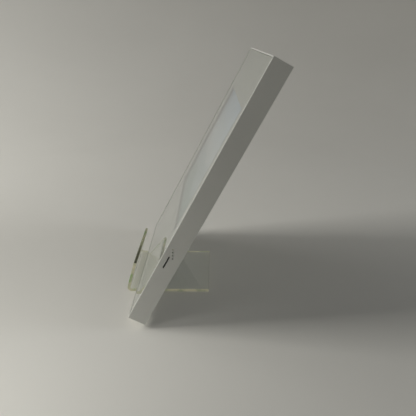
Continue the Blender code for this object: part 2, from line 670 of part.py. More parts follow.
def build_components(case):
    base = BOARD_BACK + FIT
    for name, (left, bottom, width, height, thick) in SHIELDS.items():
        x, z = board_spot((left, bottom))
        block(name, (x, base, z), (x + width, base + thick, z + height), "bright_steel", case, SHIELD_EDGE)
    build_card_socket(case)
    build_clock_cell(case)
    build_jack(case)
    build_usb(case)


def build_card_socket(case):
    """Memory card socket on the board's front; its mouth is in line with the slot in the case's side."""
    back_end = BOARD_RIGHT - SOCKET_DEEP
    socket = block("card_socket", (back_end, SOCKET_Y, SOCKET_MID - SOCKET_LENGTH / 2),
                   (BOARD_RIGHT, SOCKET_Y + SOCKET_THICK, SOCKET_MID + SOCKET_LENGTH / 2),
                   "bright_steel", case)
    bm = bmesh.new()
    middle = SOCKET_Y + SOCKET_THICK / 2
    add_box(bm, (back_end + OVER, middle - CARD_SLOT_THICK / 2, SOCKET_MID - CARD_SLOT_LENGTH / 2),
            (BOARD_RIGHT + OVER, middle + CARD_SLOT_THICK / 2, SOCKET_MID + CARD_SLOT_LENGTH / 2))
    shape_with(socket, bm, "card_mouth")


def build_clock_cell(case):
    """The coin cell that keeps the clock running, in its holder."""
    x, z = board_spot(CLOCK_CELL_SPOT)
    base = BOARD_BACK + FIT
    inner = CLOCK_CELL_RADIUS + FIT
    outer = inner + HOLDER_WALL
    bm = bmesh.new()
    add_turned(bm, (x, 0.0, z), [(0, base), (outer, base), (outer, base + HOLDER_HEIGHT),
                                 (inner, base + HOLDER_HEIGHT), (inner, base + HOLDER_FLOOR),
                                 (0, base + HOLDER_FLOOR)], 24)
    make_node("clock_cell_holder", bm, "black_plastic", case, smooth=True)
    bm = bmesh.new()
    start = base + HOLDER_FLOOR + FIT
    add_turned(bm, (x, 0.0, z), [(0, start), (CLOCK_CELL_RADIUS - CLOCK_CELL_CHAMFER, start),
                                 (CLOCK_CELL_RADIUS, start + CLOCK_CELL_CHAMFER),
                                 (CLOCK_CELL_RADIUS, start + CLOCK_CELL_THICK),
                                 (0, start + CLOCK_CELL_THICK)], 24)
    make_node("clock_cell", bm, "bright_steel", case, smooth=True)


def build_jack(case):
    """Barrel power inlet: it faces backwards through the cover."""
    x, z = board_spot(JACK_SPOT)
    base = BOARD_BACK + FIT
    half = JACK_SIZE / 2
    top = COVER_Y - FIT
    floor = base + JACK_FLOOR
    jack = block("dc_jack", (x - half, base, z - half), (x + half, top, z + half), "black_plastic", case)
    bm = bmesh.new()
    add_turned(bm, (x, 0.0, z), [(0, floor + JACK_PIN_LENGTH), (JACK_PIN, floor + JACK_PIN_LENGTH),
                                 (JACK_PIN, floor), (JACK_BORE, floor), (JACK_BORE, top + OVER),
                                 (0, top + OVER)], 18)
    shape_with(jack, bm, "jack_bore")


def pill(middle, size, grow, corner):
    """Outline of a rounded slot, larger all round by grow."""
    half = (size[0] / 2 + grow, size[1] / 2 + grow)
    return rounded_rectangle((middle[0] - half[0], middle[1] - half[1]),
                             (middle[0] + half[0], middle[1] + half[1]), corner + grow)


def build_usb(case):
    """Small data and service socket beside the power inlet, facing backwards."""
    middle = board_spot(USB_SPOT)
    base = BOARD_BACK + FIT
    top = COVER_Y - FIT
    bm = bmesh.new()
    add_prism(bm, pill(middle, USB_SIZE, 0.0, USB_CORNER), base, top, "Y")
    usb = make_node("usb_socket", bm, "bright_steel", case)
    bm = bmesh.new()
    add_prism(bm, pill(middle, USB_SIZE, -USB_WALL, USB_CORNER), base + USB_FLOOR, top + OVER, "Y")
    shape_with(usb, bm, "usb_mouth")


def build_speakers(case):
    """Two closed box speakers that play out through the cover."""
    width, thick, height = SPEAKER_SIZE
    top = COVER_Y - 2 * FIT
    cone = height * CONE_SHARE
    for word, (x, z) in speaker_middles().items():
        speaker = block("speaker_" + word, (x - width / 2, top - thick, z - height / 2),
                        (x + width / 2, top, z + height / 2), "black_plastic", case, SPEAKER_SOFT)
        dish = [(0, top - CONE_PROFILE[0][1])] + [(cone * share, top - depth) for share, depth in CONE_PROFILE]
        bm = bmesh.new()
        add_turned(bm, (x, 0.0, z), dish + [(cone, top + OVER), (0, top + OVER)], 24)
        shape_with(speaker, bm, "speaker_cone_" + word)


def make_lead(name, points, case):
    """A thin round lead along a smooth run of points."""
    curve = bpy.data.curves.new(name, "CURVE")
    curve.dimensions = "3D"
    spline = curve.splines.new("POLY")
    spline.points.add(len(points) - 1)
    for slot, spot in zip(spline.points, points):
        slot.co = (*spot, 1.0)
    curve.bevel_depth = LEAD_RADIUS
    curve.bevel_resolution = 1
    curve.use_fill_caps = True
    curve.materials.append(make_material(name + "_rubber", *LOOKS["lead_rubber"]))
    lead = bpy.data.objects.new(name, curve)
    lead.parent = case
    bpy.context.scene.collection.objects.link(lead)


def smooth_run(corners, steps=8):
    """A Catmull-Rom curve through the corners."""
    knots = [Vector(corner) for corner in corners]
    knots = [2 * knots[0] - knots[1]] + knots + [2 * knots[-1] - knots[-2]]
    run = []
    for before, start, end, after in zip(knots, knots[1:], knots[2:], knots[3:]):
        for step in range(steps):
            t = step / steps
            square = 2 * before - 5 * start + 4 * end - after
            cube = 3 * start - before - 3 * end + after
            run.append(0.5 * (2 * start + (end - before) * t + square * t ** 2 + cube * t ** 3))
    run.append(knots[-2])
    return run


def lead_route(near_speaker, near_board):
    """Sinks evenly from the lead's height on the speaker to its height on the board."""
    run = near_speaker + near_board
    speaker_y = COVER_Y - 2 * FIT - SPEAKER_SIZE[1] + LEAD_ENTRY
    board_y = BOARD_BACK + FIT + LEAD_RADIUS
    last = len(run) - 1
    return [Vector((x, speaker_y + (board_y - speaker_y) * step / last, z)) for step, (x, z) in enumerate(run)]


def build_leads(case):
    """Speaker leads, from each speaker's inner end to the board's lower edge."""
    half = SPEAKER_SIZE[0] / 2 + FIT
    left_x, z = speaker_middles()["left"]
    right_x = speaker_middles()["right"][0]
    start = [(left_x + half + run, z + rise) for run, rise in LEFT_LEAD_START]
    end = [(BOARD_LEFT + run, BOARD_BOTTOM + rise) for run, rise in LEFT_LEAD_END]
    make_lead("speaker_lead_left", smooth_run(lead_route(start, end)), case)
    start = [(right_x - half + run, z + rise) for run, rise in RIGHT_LEAD]
    make_lead("speaker_lead_right", smooth_run(lead_route(start, [])), case)


def build_flat_cables(case):
    """Flat cables from the panel and from the button board to the main board."""
    tallest = max(shield[-1] for shield in SHIELDS.values())
    y = max(PANEL_BACK, BOARD_BACK + FIT + tallest) + 2 * FIT
    left = BUTTON_X - BUTTON_FLEX_WIDTH / 2 - FLEX_APART - FLEX_WIDTH
    foot = BOARD_TOP - FLEX_OVERLAP[0]
    head = PANEL_BOTTOM + FLEX_OVERLAP[1]
    block("lcd_flex_cable", (left, y, foot), (left + FLEX_WIDTH, y + FLEX_THICK, head), "flex_film", case)
    head = BUTTON_MIDDLE - BUTTON_PITCH * BUTTON_COUNT / 2 - 2 * FIT
    left = BUTTON_X - BUTTON_FLEX_WIDTH / 2
    high = (left + BUTTON_FLEX_WIDTH, y + FLEX_THICK, head)
    block("button_flex_cable", (left, y, foot), high, "flex_film", case)


def build_antenna(case):
    """Film aerial stuck inside the left-hand wall."""
    low = (-INNER_HALF_W + FIT, BOARD_Y, ANTENNA_BOTTOM)
    block("wifi_antenna", low, [start + size for start, size in zip(low, ANTENNA_SIZE)], "flex_film", case)


def build_light_pipe(case):
    """Clear pipe that leads the status light to the foremost pinhole in the side."""
    half = LIGHT_PIPE / 2
    y = PINHOLE_FIRST[0]
    z = PINHOLE_Z
    tip = HALF_W - FIT
    knee = INNER_HALF_W - LIGHT_PIPE_KNEE
    foot = BOARD_TOP + FIT
    bm = bmesh.new()
    outline = [(knee - half, foot), (knee + half, foot), (knee + half, z - half), (tip, z - half),
               (tip, z + half), (knee - half, z + half)]
    add_prism(bm, outline, y - half, y + half, "Y")
    make_node("status_light_pipe", bm, "clear_acrylic", case)


# ---------------------------------------------------------------- buttons
def build_button_board(case):
    """Narrow board behind the buttons, with one soldered tactile switch under each."""
    half_w = SWITCH_BOARD_WIDTH / 2
    low_z = BUTTON_MIDDLE - BUTTON_PITCH * BUTTON_COUNT / 2
    high_z = BUTTON_MIDDLE + BUTTON_PITCH * BUTTON_COUNT / 2
    top = SWITCH_BOARD_Y + SWITCH_BOARD_THICK
    board = block("button_board", (BUTTON_X - half_w, SWITCH_BOARD_Y, low_z), (BUTTON_X + half_w, top, high_z),
                  "green_board", case)
    stem_top = BUTTON_UNDER - BUTTON_TRAVEL - FIT
    body_top = stem_top - SWITCH_STEM_HEIGHT
    half = SWITCH_BODY / 2
    bm = bmesh.new()
    for z in button_places():
        add_box(bm, (BUTTON_X - half, top - JOIN, z - half), (BUTTON_X + half, body_top, z + half))
    shape_with(board, bm, "switch_bodies", "UNION")
    bm = bmesh.new()
    for z in button_places():
        add_rod(bm, (BUTTON_X, 0.0, z), SWITCH_STEM, body_top - JOIN, stem_top, 12)
    shape_with(board, bm, "switch_stems", "UNION")


BUTTON_NAMES = ("power", "menu", "up", "enter", "down")


def button_outline(z, grow):
    corner = BUTTON_SIZE[0] / 2 * BUTTON_ROUND
    return pill((BUTTON_X, z), BUTTON_SIZE, grow, corner)


def build_buttons(case):
    """Five push buttons in the back cover, each on its own sliding body."""
    for word, z in zip(BUTTON_NAMES, button_places()):
        bm = bmesh.new()
        stem = BUTTON_UNDER + BUTTON_FLANGE - JOIN
        add_prism(bm, button_outline(z, 0.0), stem, CASE_DEPTH + BUTTON_PROUD, "Y")
        cap = make_node("button_" + word, bm, "button_plastic", case, (BUTTON_X, BUTTON_UNDER, z))
        soften(cap, BUTTON_EDGE)
        bm = bmesh.new()
        add_prism(bm, button_outline(z, BUTTON_LIP), BUTTON_UNDER, BUTTON_UNDER + BUTTON_FLANGE, "Y")
        shape_with(cap, bm, "button_flange_" + word, "UNION")


# ---------------------------------------------------------------- back cover
def build_cover(case):
    """Inset back cover with its screw wells, keyholes, vents, speaker slots and button openings."""
    gap = REBATE_WALL + FIT
    cover = block("back_cover", (-HALF_W + gap, COVER_Y, gap), (HALF_W - gap, CASE_DEPTH, CASE_HEIGHT - gap),
                  "cover_plastic", case, COVER_EDGE)
    below = COVER_Y - OVER
    above = CASE_DEPTH + OVER
    well = CASE_DEPTH - COUNTERBORE_DEPTH
    wide = SCREW_HEAD + FIT
    bm = bmesh.new()
    for x, z in boss_places():
        add_turned(bm, (x, 0.0, z), [(0, below), (PILOT_RADIUS, below), (PILOT_RADIUS, well), (wide, well),
                                     (wide, above), (0, above)], 16)
    for z in button_places():
        add_prism(bm, button_outline(z, FIT), below, above, "Y")
    for centre, direction in KEYHOLES.values():
        add_prism(bm, keyhole_outline(centre, direction), below, above, "Y")
    x, z = board_spot(JACK_SPOT)
    add_rod(bm, (x, 0.0, z), JACK_HOLE, below, above, 24)
    add_prism(bm, pill(board_spot(USB_SPOT), USB_SIZE, USB_MARGIN, USB_CORNER), below, above, "Y")
    shape_with(cover, bm, "cover_openings")

    bm = bmesh.new()
    for x, z in speaker_middles().values():
        for step in range(SPEAKER_SLOTS):
            from_middle = step - SPEAKER_SLOTS // 2
            across = x + from_middle * SPEAKER_SLOT_PITCH
            reach = SPEAKER_SLOT_REACH - SPEAKER_SLOT_STEP * abs(from_middle)
            add_box(bm, (across - SPEAKER_SLOT_WIDTH / 2, below, z - reach),
                    (across + SPEAKER_SLOT_WIDTH / 2, above, z + reach))
    vent_z = CASE_HEIGHT - VENT_BELOW_TOP
    for step in range(VENT_COUNT):
        across = (step - VENT_COUNT // 2) * VENT_PITCH
        add_box(bm, (across - VENT_SIZE[0] / 2, below, vent_z - VENT_SIZE[1] / 2),
                (across + VENT_SIZE[0] / 2, above, vent_z + VENT_SIZE[1] / 2))
    shape_with(cover, bm, "cover_slots")


def build_cover_screws(case):
    head = CASE_DEPTH - COUNTERBORE_DEPTH + FIT
    crown = head + SCREW_HEAD_THICK
    tip = PILOT_START + FIT
    profile = [(0, tip), (SCREW_SHANK / 2, tip), (SCREW_SHANK, tip + SCREW_TAPER), (SCREW_SHANK, head),
               (SCREW_HEAD, head), (SCREW_HEAD, crown - SCREW_CHAMFER), (SCREW_HEAD - SCREW_CHAMFER, crown),
               (0, crown)]
    for number, (x, z) in enumerate(boss_places(), 1):
        bm = bmesh.new()
        add_turned(bm, (x, 0.0, z), profile, 16)
        screw = make_node("cover_screw_%d" % number, bm, "screw_steel", case, smooth=True)
        cross_recess(screw, (x, crown, z), SCREW_HEAD)


def build_hangers(case):
    """Steel plates behind the two keyholes, which take the load of a wall screw."""
    for word, (centre, direction) in KEYHOLES.items():
        along = Vector((direction[0], 0.0, direction[1]))
        middle = Vector((centre[0], COVER_Y - FIT - HANGER_THICK / 2, centre[1])) + along * KEYHOLE_LENGTH / 2
        across, length = HANGER_SIZE if direction[0] == 0 else reversed(HANGER_SIZE)
        half = Vector((across / 2, HANGER_THICK / 2, length / 2))
        plate = block("hanger_plate_" + word, middle - half, middle + half, "bright_steel", case)
        bm = bmesh.new()
        add_prism(bm, keyhole_outline(centre, direction), COVER_Y - HANGER_THICK - OVER, COVER_Y + OVER, "Y")
        shape_with(plate, bm, "hanger_keyhole_" + word)


# ---------------------------------------------------------------- the acrylic stand
def build_stand_base(stand):
    """One bent sheet: flat base and the lip that leans back towards the glass."""
    bend = (FRONT_Y + STAND_BEND, STAND_BEND)
    inner = STAND_BEND - SHEET
    stop = pi - LIP_LEAN
    rear = FRONT_Y + STAND_DEPTH
    outer_arc = arc(bend, STAND_BEND, 3 * pi / 2, stop, 14)
    inner_arc = arc(bend, inner, stop, 3 * pi / 2, 14)
    rise = LIP_HEIGHT - outer_arc[-1][1]
    slope = (sin(LIP_LEAN), cos(LIP_LEAN))
    length = rise / slope[1]
    top_outer = (outer_arc[-1][0] + slope[0] * length, outer_arc[-1][1] + slope[1] * length)
    top_inner = (inner_arc[0][0] + slope[0] * length, inner_arc[0][1] + slope[1] * length)
    outline = [(rear, 0.0)] + outer_arc + [top_outer, top_inner] + inner_arc + [(rear, SHEET)]
    bm = bmesh.new()
    half = STAND_WIDTH / 2
    add_prism(bm, outline, STAND_SHIFT - half, STAND_SHIFT + half, "X")
    base = make_node("stand_base", bm, "clear_acrylic", stand)
    soften(base, POLISH)


def build_back_rest(stand_tilt, stand):
    """The leaning plate, mitred and cemented on the base, on which the case's back lies."""
    half = STAND_WIDTH / 2
    low_y = CASE_DEPTH + FIT
    below = -(FOOT_Z + SHEET) / LEAN_COS
    bm = bmesh.new()
    outline = [(STAND_SHIFT - half, below), (STAND_SHIFT + half, below)]
    outline += arc((STAND_SHIFT + half - REST_CORNER, REST_LENGTH - REST_CORNER), REST_CORNER, 0, pi / 2, 6)
    outline += arc((STAND_SHIFT - half + REST_CORNER, REST_LENGTH - REST_CORNER), REST_CORNER, pi / 2, pi, 6)
    add_prism(bm, outline, low_y, low_y + SHEET, "Y")
    rest = make_node("stand_back_rest", bm, "clear_acrylic", stand_tilt)
    soften(rest, POLISH)
    bm = bmesh.new()
    reach = REST_LENGTH / 2
    add_box(bm, (-STAND_WIDTH, FOOT_Y - reach, FOOT_Z - reach), (STAND_WIDTH, FOOT_Y + reach, FOOT_Z))
    shape_with(rest, bm, "rest_mitre", parent=stand)


def main():
    corner = (0.0, FOOT_Y - CASE_DEPTH * LEAN_COS, FOOT_Z + CASE_DEPTH * LEAN_SIN)
    case = make_empty("case_tilt", corner, -LEAN)
    stand_tilt = make_empty("stand_tilt", corner, -LEAN)
    stand = make_empty("stand_floor", (0.0, 0.0, 0.0))
    build_shell(case)
    build_glass(case)
    build_mat(case)
    build_mid_plate(case)
    build_foam(case)
    build_panel(case)
    build_brackets(case)
    build_main_board(case)
    build_components(case)
    build_speakers(case)
    build_leads(case)
    build_flat_cables(case)
    build_antenna(case)
    build_light_pipe(case)
    build_button_board(case)
    build_buttons(case)
    build_cover(case)
    build_cover_screws(case)
    build_hangers(case)
    build_stand_base(stand)
    build_back_rest(stand_tilt, stand)


main()
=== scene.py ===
"""Looks of the digital photo frame: materials, printed and small pieces, studio floor, light and camera."""
import json
from math import cos, pi, radians, sin

import bmesh
import bpy
from mathutils import Matrix, Vector


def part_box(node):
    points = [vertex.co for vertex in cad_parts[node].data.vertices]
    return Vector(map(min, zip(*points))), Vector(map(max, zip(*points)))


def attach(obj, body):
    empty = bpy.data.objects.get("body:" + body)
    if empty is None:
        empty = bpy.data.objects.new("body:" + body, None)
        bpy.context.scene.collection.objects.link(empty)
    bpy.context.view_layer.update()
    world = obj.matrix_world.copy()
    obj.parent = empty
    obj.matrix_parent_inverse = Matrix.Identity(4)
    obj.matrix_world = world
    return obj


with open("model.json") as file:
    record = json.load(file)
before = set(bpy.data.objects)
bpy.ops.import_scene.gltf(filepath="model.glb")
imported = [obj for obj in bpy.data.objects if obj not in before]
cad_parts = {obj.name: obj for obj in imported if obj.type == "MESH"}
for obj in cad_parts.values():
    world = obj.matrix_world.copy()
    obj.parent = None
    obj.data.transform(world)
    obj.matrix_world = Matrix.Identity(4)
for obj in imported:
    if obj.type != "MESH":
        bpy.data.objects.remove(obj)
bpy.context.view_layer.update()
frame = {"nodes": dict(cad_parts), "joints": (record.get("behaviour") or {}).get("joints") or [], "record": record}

MM = 0.001

# ---------------------------------------------------------------- places read from the frame
lift = next(joint for joint in frame["joints"] if joint["name"] == "frame_lift")
UP = Vector(lift["axis"]).normalized()            # up along the leaning case
ACROSS = Vector((1.0, 0.0, 0.0))
BACK = ACROSS.cross(UP) * -1.0                    # from the glass towards the back cover
NODES = frame["nodes"]


def reach(node, direction):
    """Nearest and furthest place of a node along a direction."""
    places = [vertex.co.dot(direction) for vertex in NODES[node].data.vertices]
    return min(places), max(places)


CASE_FRONT = reach("front_shell", BACK)[0]
CASE_FOOT = reach("front_shell", UP)[0]
LEAN = radians(28.0)                              # of the case, from upright


def middle(node):
    """A node's middle, as its places across the case and above the case's foot."""
    return sum(reach(node, ACROSS)) / 2, sum(reach(node, UP)) / 2 - CASE_FOOT


def rear_face(node):
    """How far behind the case's front a node's rearmost face lies."""
    return reach(node, BACK)[1] - CASE_FRONT


def spot(x, depth, height):
    """A point from its place across the case, behind its front, and above its lower edge."""
    return ACROSS * x + BACK * (CASE_FRONT + depth) + UP * (CASE_FOOT + height)


# ---------------------------------------------------------------- node helpers
class Shade:
    """A small wrapper round a material's node tree."""

    def __init__(self, name):
        self.material = bpy.data.materials.new(name)
        self.material.use_nodes = True
        self.tree = self.material.node_tree
        self.bsdf = self.tree.nodes["Principled BSDF"]
        self.out = self.tree.nodes["Material Output"]

    def node(self, kind, **settings):
        made = self.tree.nodes.new(kind)
        for key, value in settings.items():
            setattr(made, key, value)
        return made

    def link(self, source, target):
        self.tree.links.new(source, target)

    def put(self, **values):
        for socket, value in values.items():
            self.bsdf.inputs[socket.replace("_", " ")].default_value = value

    def coordinates(self, scale=(1.0, 1.0, 1.0), turn=(0.0, 0.0, 0.0)):
        place = self.node("ShaderNodeTexCoord")
        mapping = self.node("ShaderNodeMapping")
        mapping.inputs["Scale"].default_value = scale
        mapping.inputs["Rotation"].default_value = turn
        self.link(place.outputs["Object"], mapping.inputs["Vector"])
        return mapping.outputs["Vector"]

    def noise(self, scale, detail=4.0, roughness=0.55, vector=None):
        noise = self.node("ShaderNodeTexNoise")
        noise.inputs["Scale"].default_value = scale
        noise.inputs["Detail"].default_value = detail
        noise.inputs["Roughness"].default_value = roughness
        self.link(vector or self.coordinates(), noise.inputs["Vector"])
        return noise.outputs["Fac"]

    def cells(self, scale, feature="F1", vector=None):
        cells = self.node("ShaderNodeTexVoronoi", feature=feature)
        cells.inputs["Scale"].default_value = scale
        self.link(vector or self.coordinates(), cells.inputs["Vector"])
        return cells.outputs["Distance"]

    def sums(self, operation, first, second):
        maths = self.node("ShaderNodeMath", operation=operation)
        for socket, value in zip(maths.inputs, (first, second)):
            if isinstance(value, (int, float)):
                socket.default_value = value
            else:
                self.link(value, socket)
        return maths.outputs["Value"]

    def ramp(self, value, stops):
        ramp = self.node("ShaderNodeValToRGB")
        elements = ramp.color_ramp.elements
        while len(elements) < len(stops):
            elements.new(0.5)
        for element, (place, colour) in zip(elements, stops):
            element.position = place
            element.color = (*colour, 1.0)
        self.link(value, ramp.inputs["Fac"])
        return ramp.outputs["Color"]

    def blend(self, share, first, second):
        mix = self.node("ShaderNodeMix", data_type="RGBA")
        self.link(share, mix.inputs["Factor"])
        for socket, colour in ((mix.inputs[6], first), (mix.inputs[7], second)):
            if isinstance(colour, tuple):
                socket.default_value = (*colour, 1.0)
            else:
                self.link(colour, socket)
        return mix.outputs[2]

    def spread(self, value, low, high, start=0.0, end=1.0):
        ranged = self.node("ShaderNodeMapRange")
        for socket, number in (("From Min", start), ("From Max", end), ("To Min", low), ("To Max", high)):
            ranged.inputs[socket].default_value = number
        self.link(value, ranged.inputs["Value"])
        return ranged.outputs["Result"]

    def colour(self, source):
        self.link(source, self.bsdf.inputs["Base Color"])

    def rough(self, source):
        self.link(source, self.bsdf.inputs["Roughness"])

    def bump(self, height, distance, strength=1.0):
        bump = self.node("ShaderNodeBump")
        bump.inputs["Distance"].default_value = distance
        bump.inputs["Strength"].default_value = strength
        self.link(height, bump.inputs["Height"])
        self.link(bump.outputs["Normal"], self.bsdf.inputs["Normal"])


def tinted(colour, by):
    return tuple(max(0.0, min(1.0, channel * by)) for channel in colour)


# ---------------------------------------------------------------- materials
def moulded_plastic(name, colour, rough, grain=2600.0, depth=0.02 * MM, spread=0.05):
    """Moulded plastic: spark-eroded grain, faint clouding of the colour and patchy sheen."""
    shade = Shade(name)
    cloud = shade.noise(38.0, 5.0)
    stops = [(0.30, tinted(colour, 1.0 - spread)), (0.70, tinted(colour, 1.0 + spread / 2))]
    shade.colour(shade.ramp(cloud, stops))
    patches = shade.noise(120.0, 6.0, 0.65)
    shade.rough(shade.spread(patches, rough - 0.07, rough + 0.09, 0.3, 0.7))
    shade.bump(shade.noise(grain, 2.0, 0.5), depth)
    return shade.material


def satin_shell(name="shell_white"):
    """The white rim: satin, with faint handling marks that catch the light and dust in its grain."""
    white = (0.76, 0.765, 0.73)
    shade = Shade(name)
    cloud = shade.noise(26.0, 5.0)
    body = shade.ramp(cloud, [(0.30, tinted(white, 0.965)), (0.72, tinted(white, 1.02))])
    dust = shade.spread(shade.noise(900.0, 3.0, 0.6), 0.0, 0.30, 0.66, 0.74)
    shade.colour(shade.blend(dust, body, tinted(white, 0.80)))
    rubbed = shade.noise(1.0, 4.0, 0.6, shade.coordinates((70.0, 520.0, 45.0), (LEAN, 0.0, 0.0)))
    shade.rough(shade.spread(rubbed, 0.38, 0.60, 0.35, 0.70))
    grain = shade.noise(2400.0, 2.0, 0.5)
    scratches = shade.spread(rubbed, 0.0, 0.35, 0.62, 0.70)
    shade.bump(shade.sums("SUBTRACT", grain, scratches), 0.014 * MM)
    shade.put(Coat_Weight=0.10, Coat_Roughness=0.30)
    return shade.material


def textured_cover(name="cover_white"):
    """The back cover: a coarser leather-like moulded texture."""
    white = (0.74, 0.74, 0.71)
    shade = Shade(name)
    cells = shade.cells(1100.0)
    cloud = shade.noise(30.0, 4.0)
    body = shade.ramp(cloud, [(0.3, tinted(white, 0.95)), (0.7, tinted(white, 1.02))])
    shade.colour(shade.blend(shade.spread(cells, 0.0, 0.22, 0.10, 0.55), tinted(white, 0.86), body))
    shade.rough(shade.spread(shade.noise(90.0, 5.0), 0.50, 0.66, 0.3, 0.7))
    shade.bump(shade.sums("ADD", cells, shade.sums("MULTIPLY", shade.noise(3000.0), 0.4)), 0.05 * MM)
    return shade.material


def sheet_metal(name, colour, rough, stretch=(900.0, 900.0, 40.0), depth=0.008 * MM):
    """Rolled or plated metal with fine drawn lines."""
    shade = Shade(name)
    lines = shade.noise(1.0, 3.0, 0.6, shade.coordinates(stretch))
    spangle = shade.noise(160.0, 3.0)
    base = shade.ramp(lines, [(0.2, tinted(colour, 0.82)), (0.8, tinted(colour, 1.1))])
    shade.colour(shade.blend(shade.spread(spangle, 0.0, 0.25, 0.4, 0.7), base, tinted(colour, 0.75)))
    shade.rough(shade.spread(lines, rough - 0.08, rough + 0.12, 0.2, 0.8))
    shade.put(Metallic=1.0)
    shade.bump(lines, depth)
    return shade.material


def zinc_screw(name="zinc_plating"):
    """Zinc-plated screws, a little yellow in places, with turning marks."""
    shade = Shade(name)
    patches = shade.noise(700.0, 4.0)
    plating = [(0.30, (0.42, 0.42, 0.43)), (0.55, (0.58, 0.58, 0.57)), (0.75, (0.60, 0.56, 0.46))]
    shade.colour(shade.ramp(patches, plating))
    shade.rough(shade.spread(shade.noise(1500.0), 0.22, 0.48, 0.3, 0.7))
    shade.put(Metallic=1.0)
    shade.bump(shade.noise(2500.0, 2.0), 0.01 * MM)
    return shade.material


def let_lamps_through(shade, tint):
    """Makes a clear shader cast only a light, tinted shadow."""
    clear = shade.node("ShaderNodeBsdfTransparent")
    clear.inputs["Color"].default_value = (*tint, 1.0)
    path = shade.node("ShaderNodeLightPath")
    mix = shade.node("ShaderNodeMixShader")
    shade.link(path.outputs["Is Shadow Ray"], mix.inputs["Fac"])
    shade.link(shade.bsdf.outputs["BSDF"], mix.inputs[1])
    shade.link(clear.outputs["BSDF"], mix.inputs[2])
    shade.link(mix.outputs["Shader"], shade.out.inputs["Surface"])


def pane_glass(name="pane_glass"):
    """Flat float glass with the faintest smears."""
    shade = Shade(name)
    smears = shade.noise(1.0, 3.0, 0.6, shade.coordinates((14.0, 60.0, 9.0), (0.3, 0.2, 0.5)))
    shade.rough(shade.spread(smears, 0.0, 0.035, 0.48, 0.75))
    shade.put(Base_Color=(0.97, 0.985, 0.975, 1.0), Transmission_Weight=1.0, IOR=1.50)
    let_lamps_through(shade, (0.93, 0.95, 0.93))
    return shade.material


def facing(shade, direction, low, high):
    """How far a surface faces along a direction, forwards or backwards, as a share from 0 to 1."""
    place = shade.node("ShaderNodeTexCoord")
    turned = shade.node("ShaderNodeVectorMath", operation="DOT_PRODUCT")
    turned.inputs[1].default_value = direction
    shade.link(place.outputs["Normal"], turned.inputs[0])
    return shade.spread(shade.sums("ABSOLUTE", turned.outputs["Value"], 0.0), 0.0, 1.0, low, high)


STAND_TINT = (0.80, 0.86, 0.60)
STAND_DENSITY = 9.0
SIDE_EDGE = (0.08, 0.30)        # how squarely a face turns across the object to count as a sawn edge
PLATE_EDGE = (0.45, 0.20)       # the same for a flat plate's rim, by how little it faces the plate's flat way
SHEET_END = (0.9970, 0.9995)    # the same for a bent sheet's end, which faces one way within a few degrees
END_FROST = 0.7                 # the sheet's ends are rubbed smoother than its sides
PAINTED_EDGE_GLOW = 0.19                # painted glow: how strongly the sawn edges emit light, standing in for light that the sheet pipes to them


def clear_acrylic(name, tint, density, marks=0.06, flat_way=None, ends=()):
    """Cast acrylic sheet: clear faces with fine wiping marks, a tint in its depth and frosted, sawn edges with
    painted glints and a painted glow.

    The edges are those that face across the object, with a bent sheet's two ends, or for a flat plate all
    that turn away from its flat way.
    """
    shade = Shade(name)
    sawn = facing(shade, flat_way, *PLATE_EDGE) if flat_way else facing(shade, ACROSS, *SIDE_EDGE)
    for end in ends:
        rubbed = shade.sums("MULTIPLY", facing(shade, end, *SHEET_END), END_FROST)
        sawn = shade.sums("MAXIMUM", sawn, rubbed)
    wiped = shade.noise(1.0, 4.0, 0.6, shade.coordinates((320.0, 24.0, 40.0), (0.2, 0.1, 0.4)))
    smooth = shade.spread(wiped, 0.01, marks, 0.52, 0.78)
    shade.rough(shade.sums("MAXIMUM", smooth, shade.sums("MULTIPLY", sawn, 0.55)))
    # painted glints: patches from dark green to pale amber along the sawn edges, standing in for light caught and
    # piped in the sheet; they set the edges' colour and the colour of their glow
    painted_glints = shade.noise(1.0, 3.0, 0.6, shade.coordinates((1.0, 75.0, 75.0)))
    painted_glint_colours = [(0.34, (0.30, 0.44, 0.18)), (0.44, (0.50, 0.51, 0.36)), (0.60, (0.72, 0.68, 0.50))]
    edge = shade.ramp(painted_glints, painted_glint_colours)
    shade.colour(shade.blend(sawn, (0.985, 0.99, 0.975), edge))
    # painted glow: the sawn edges emit their edge colour, though they are no lamp
    shade.link(edge, shade.bsdf.inputs["Emission Color"])
    shade.link(shade.spread(sawn, 0.0, PAINTED_EDGE_GLOW), shade.bsdf.inputs["Emission Strength"])
    shade.link(shade.spread(sawn, 1.0, 0.12), shade.bsdf.inputs["Transmission Weight"])
    shade.bump(shade.noise(45.0, 2.0), 0.05 * MM, 0.5)
    shade.put(IOR=1.49)
    absorb = shade.node("ShaderNodeVolumeAbsorption")
    absorb.inputs["Color"].default_value = (*tint, 1.0)
    absorb.inputs["Density"].default_value = density
    shade.link(absorb.outputs["Volume"], shade.out.inputs["Volume"])
    let_lamps_through(shade, (0.955, 0.96, 0.94))
    return shade.material


def card(name="mat_card"):
    """Uncoated card with paper fibres; its cut edge shows the whiter core."""
    shade = Shade(name)
    fibres = shade.noise(1.0, 5.0, 0.7, shade.coordinates((1500.0, 900.0, 420.0), (0.0, 0.4, 0.2)))
    face = shade.ramp(fibres, [(0.35, (0.51, 0.51, 0.48)), (0.65, (0.56, 0.56, 0.53))])
    shade.colour(shade.blend(facing(shade, BACK, 0.75, 0.95), (0.68, 0.68, 0.66), face))
    shade.rough(shade.spread(fibres, 0.80, 0.97, 0.3, 0.7))
    shade.bump(fibres, 0.012 * MM)
    return shade.material


def foam(name="black_foam"):
    """Closed-cell foam, all but black."""
    shade = Shade(name)
    cells = shade.cells(2600.0)
    shade.colour(shade.ramp(cells, [(0.1, (0.008, 0.008, 0.008)), (0.6, (0.045, 0.045, 0.046))]))
    shade.rough(shade.spread(cells, 0.85, 1.0, 0.0, 0.6))
    shade.bump(cells, 0.15 * MM)
    return shade.material


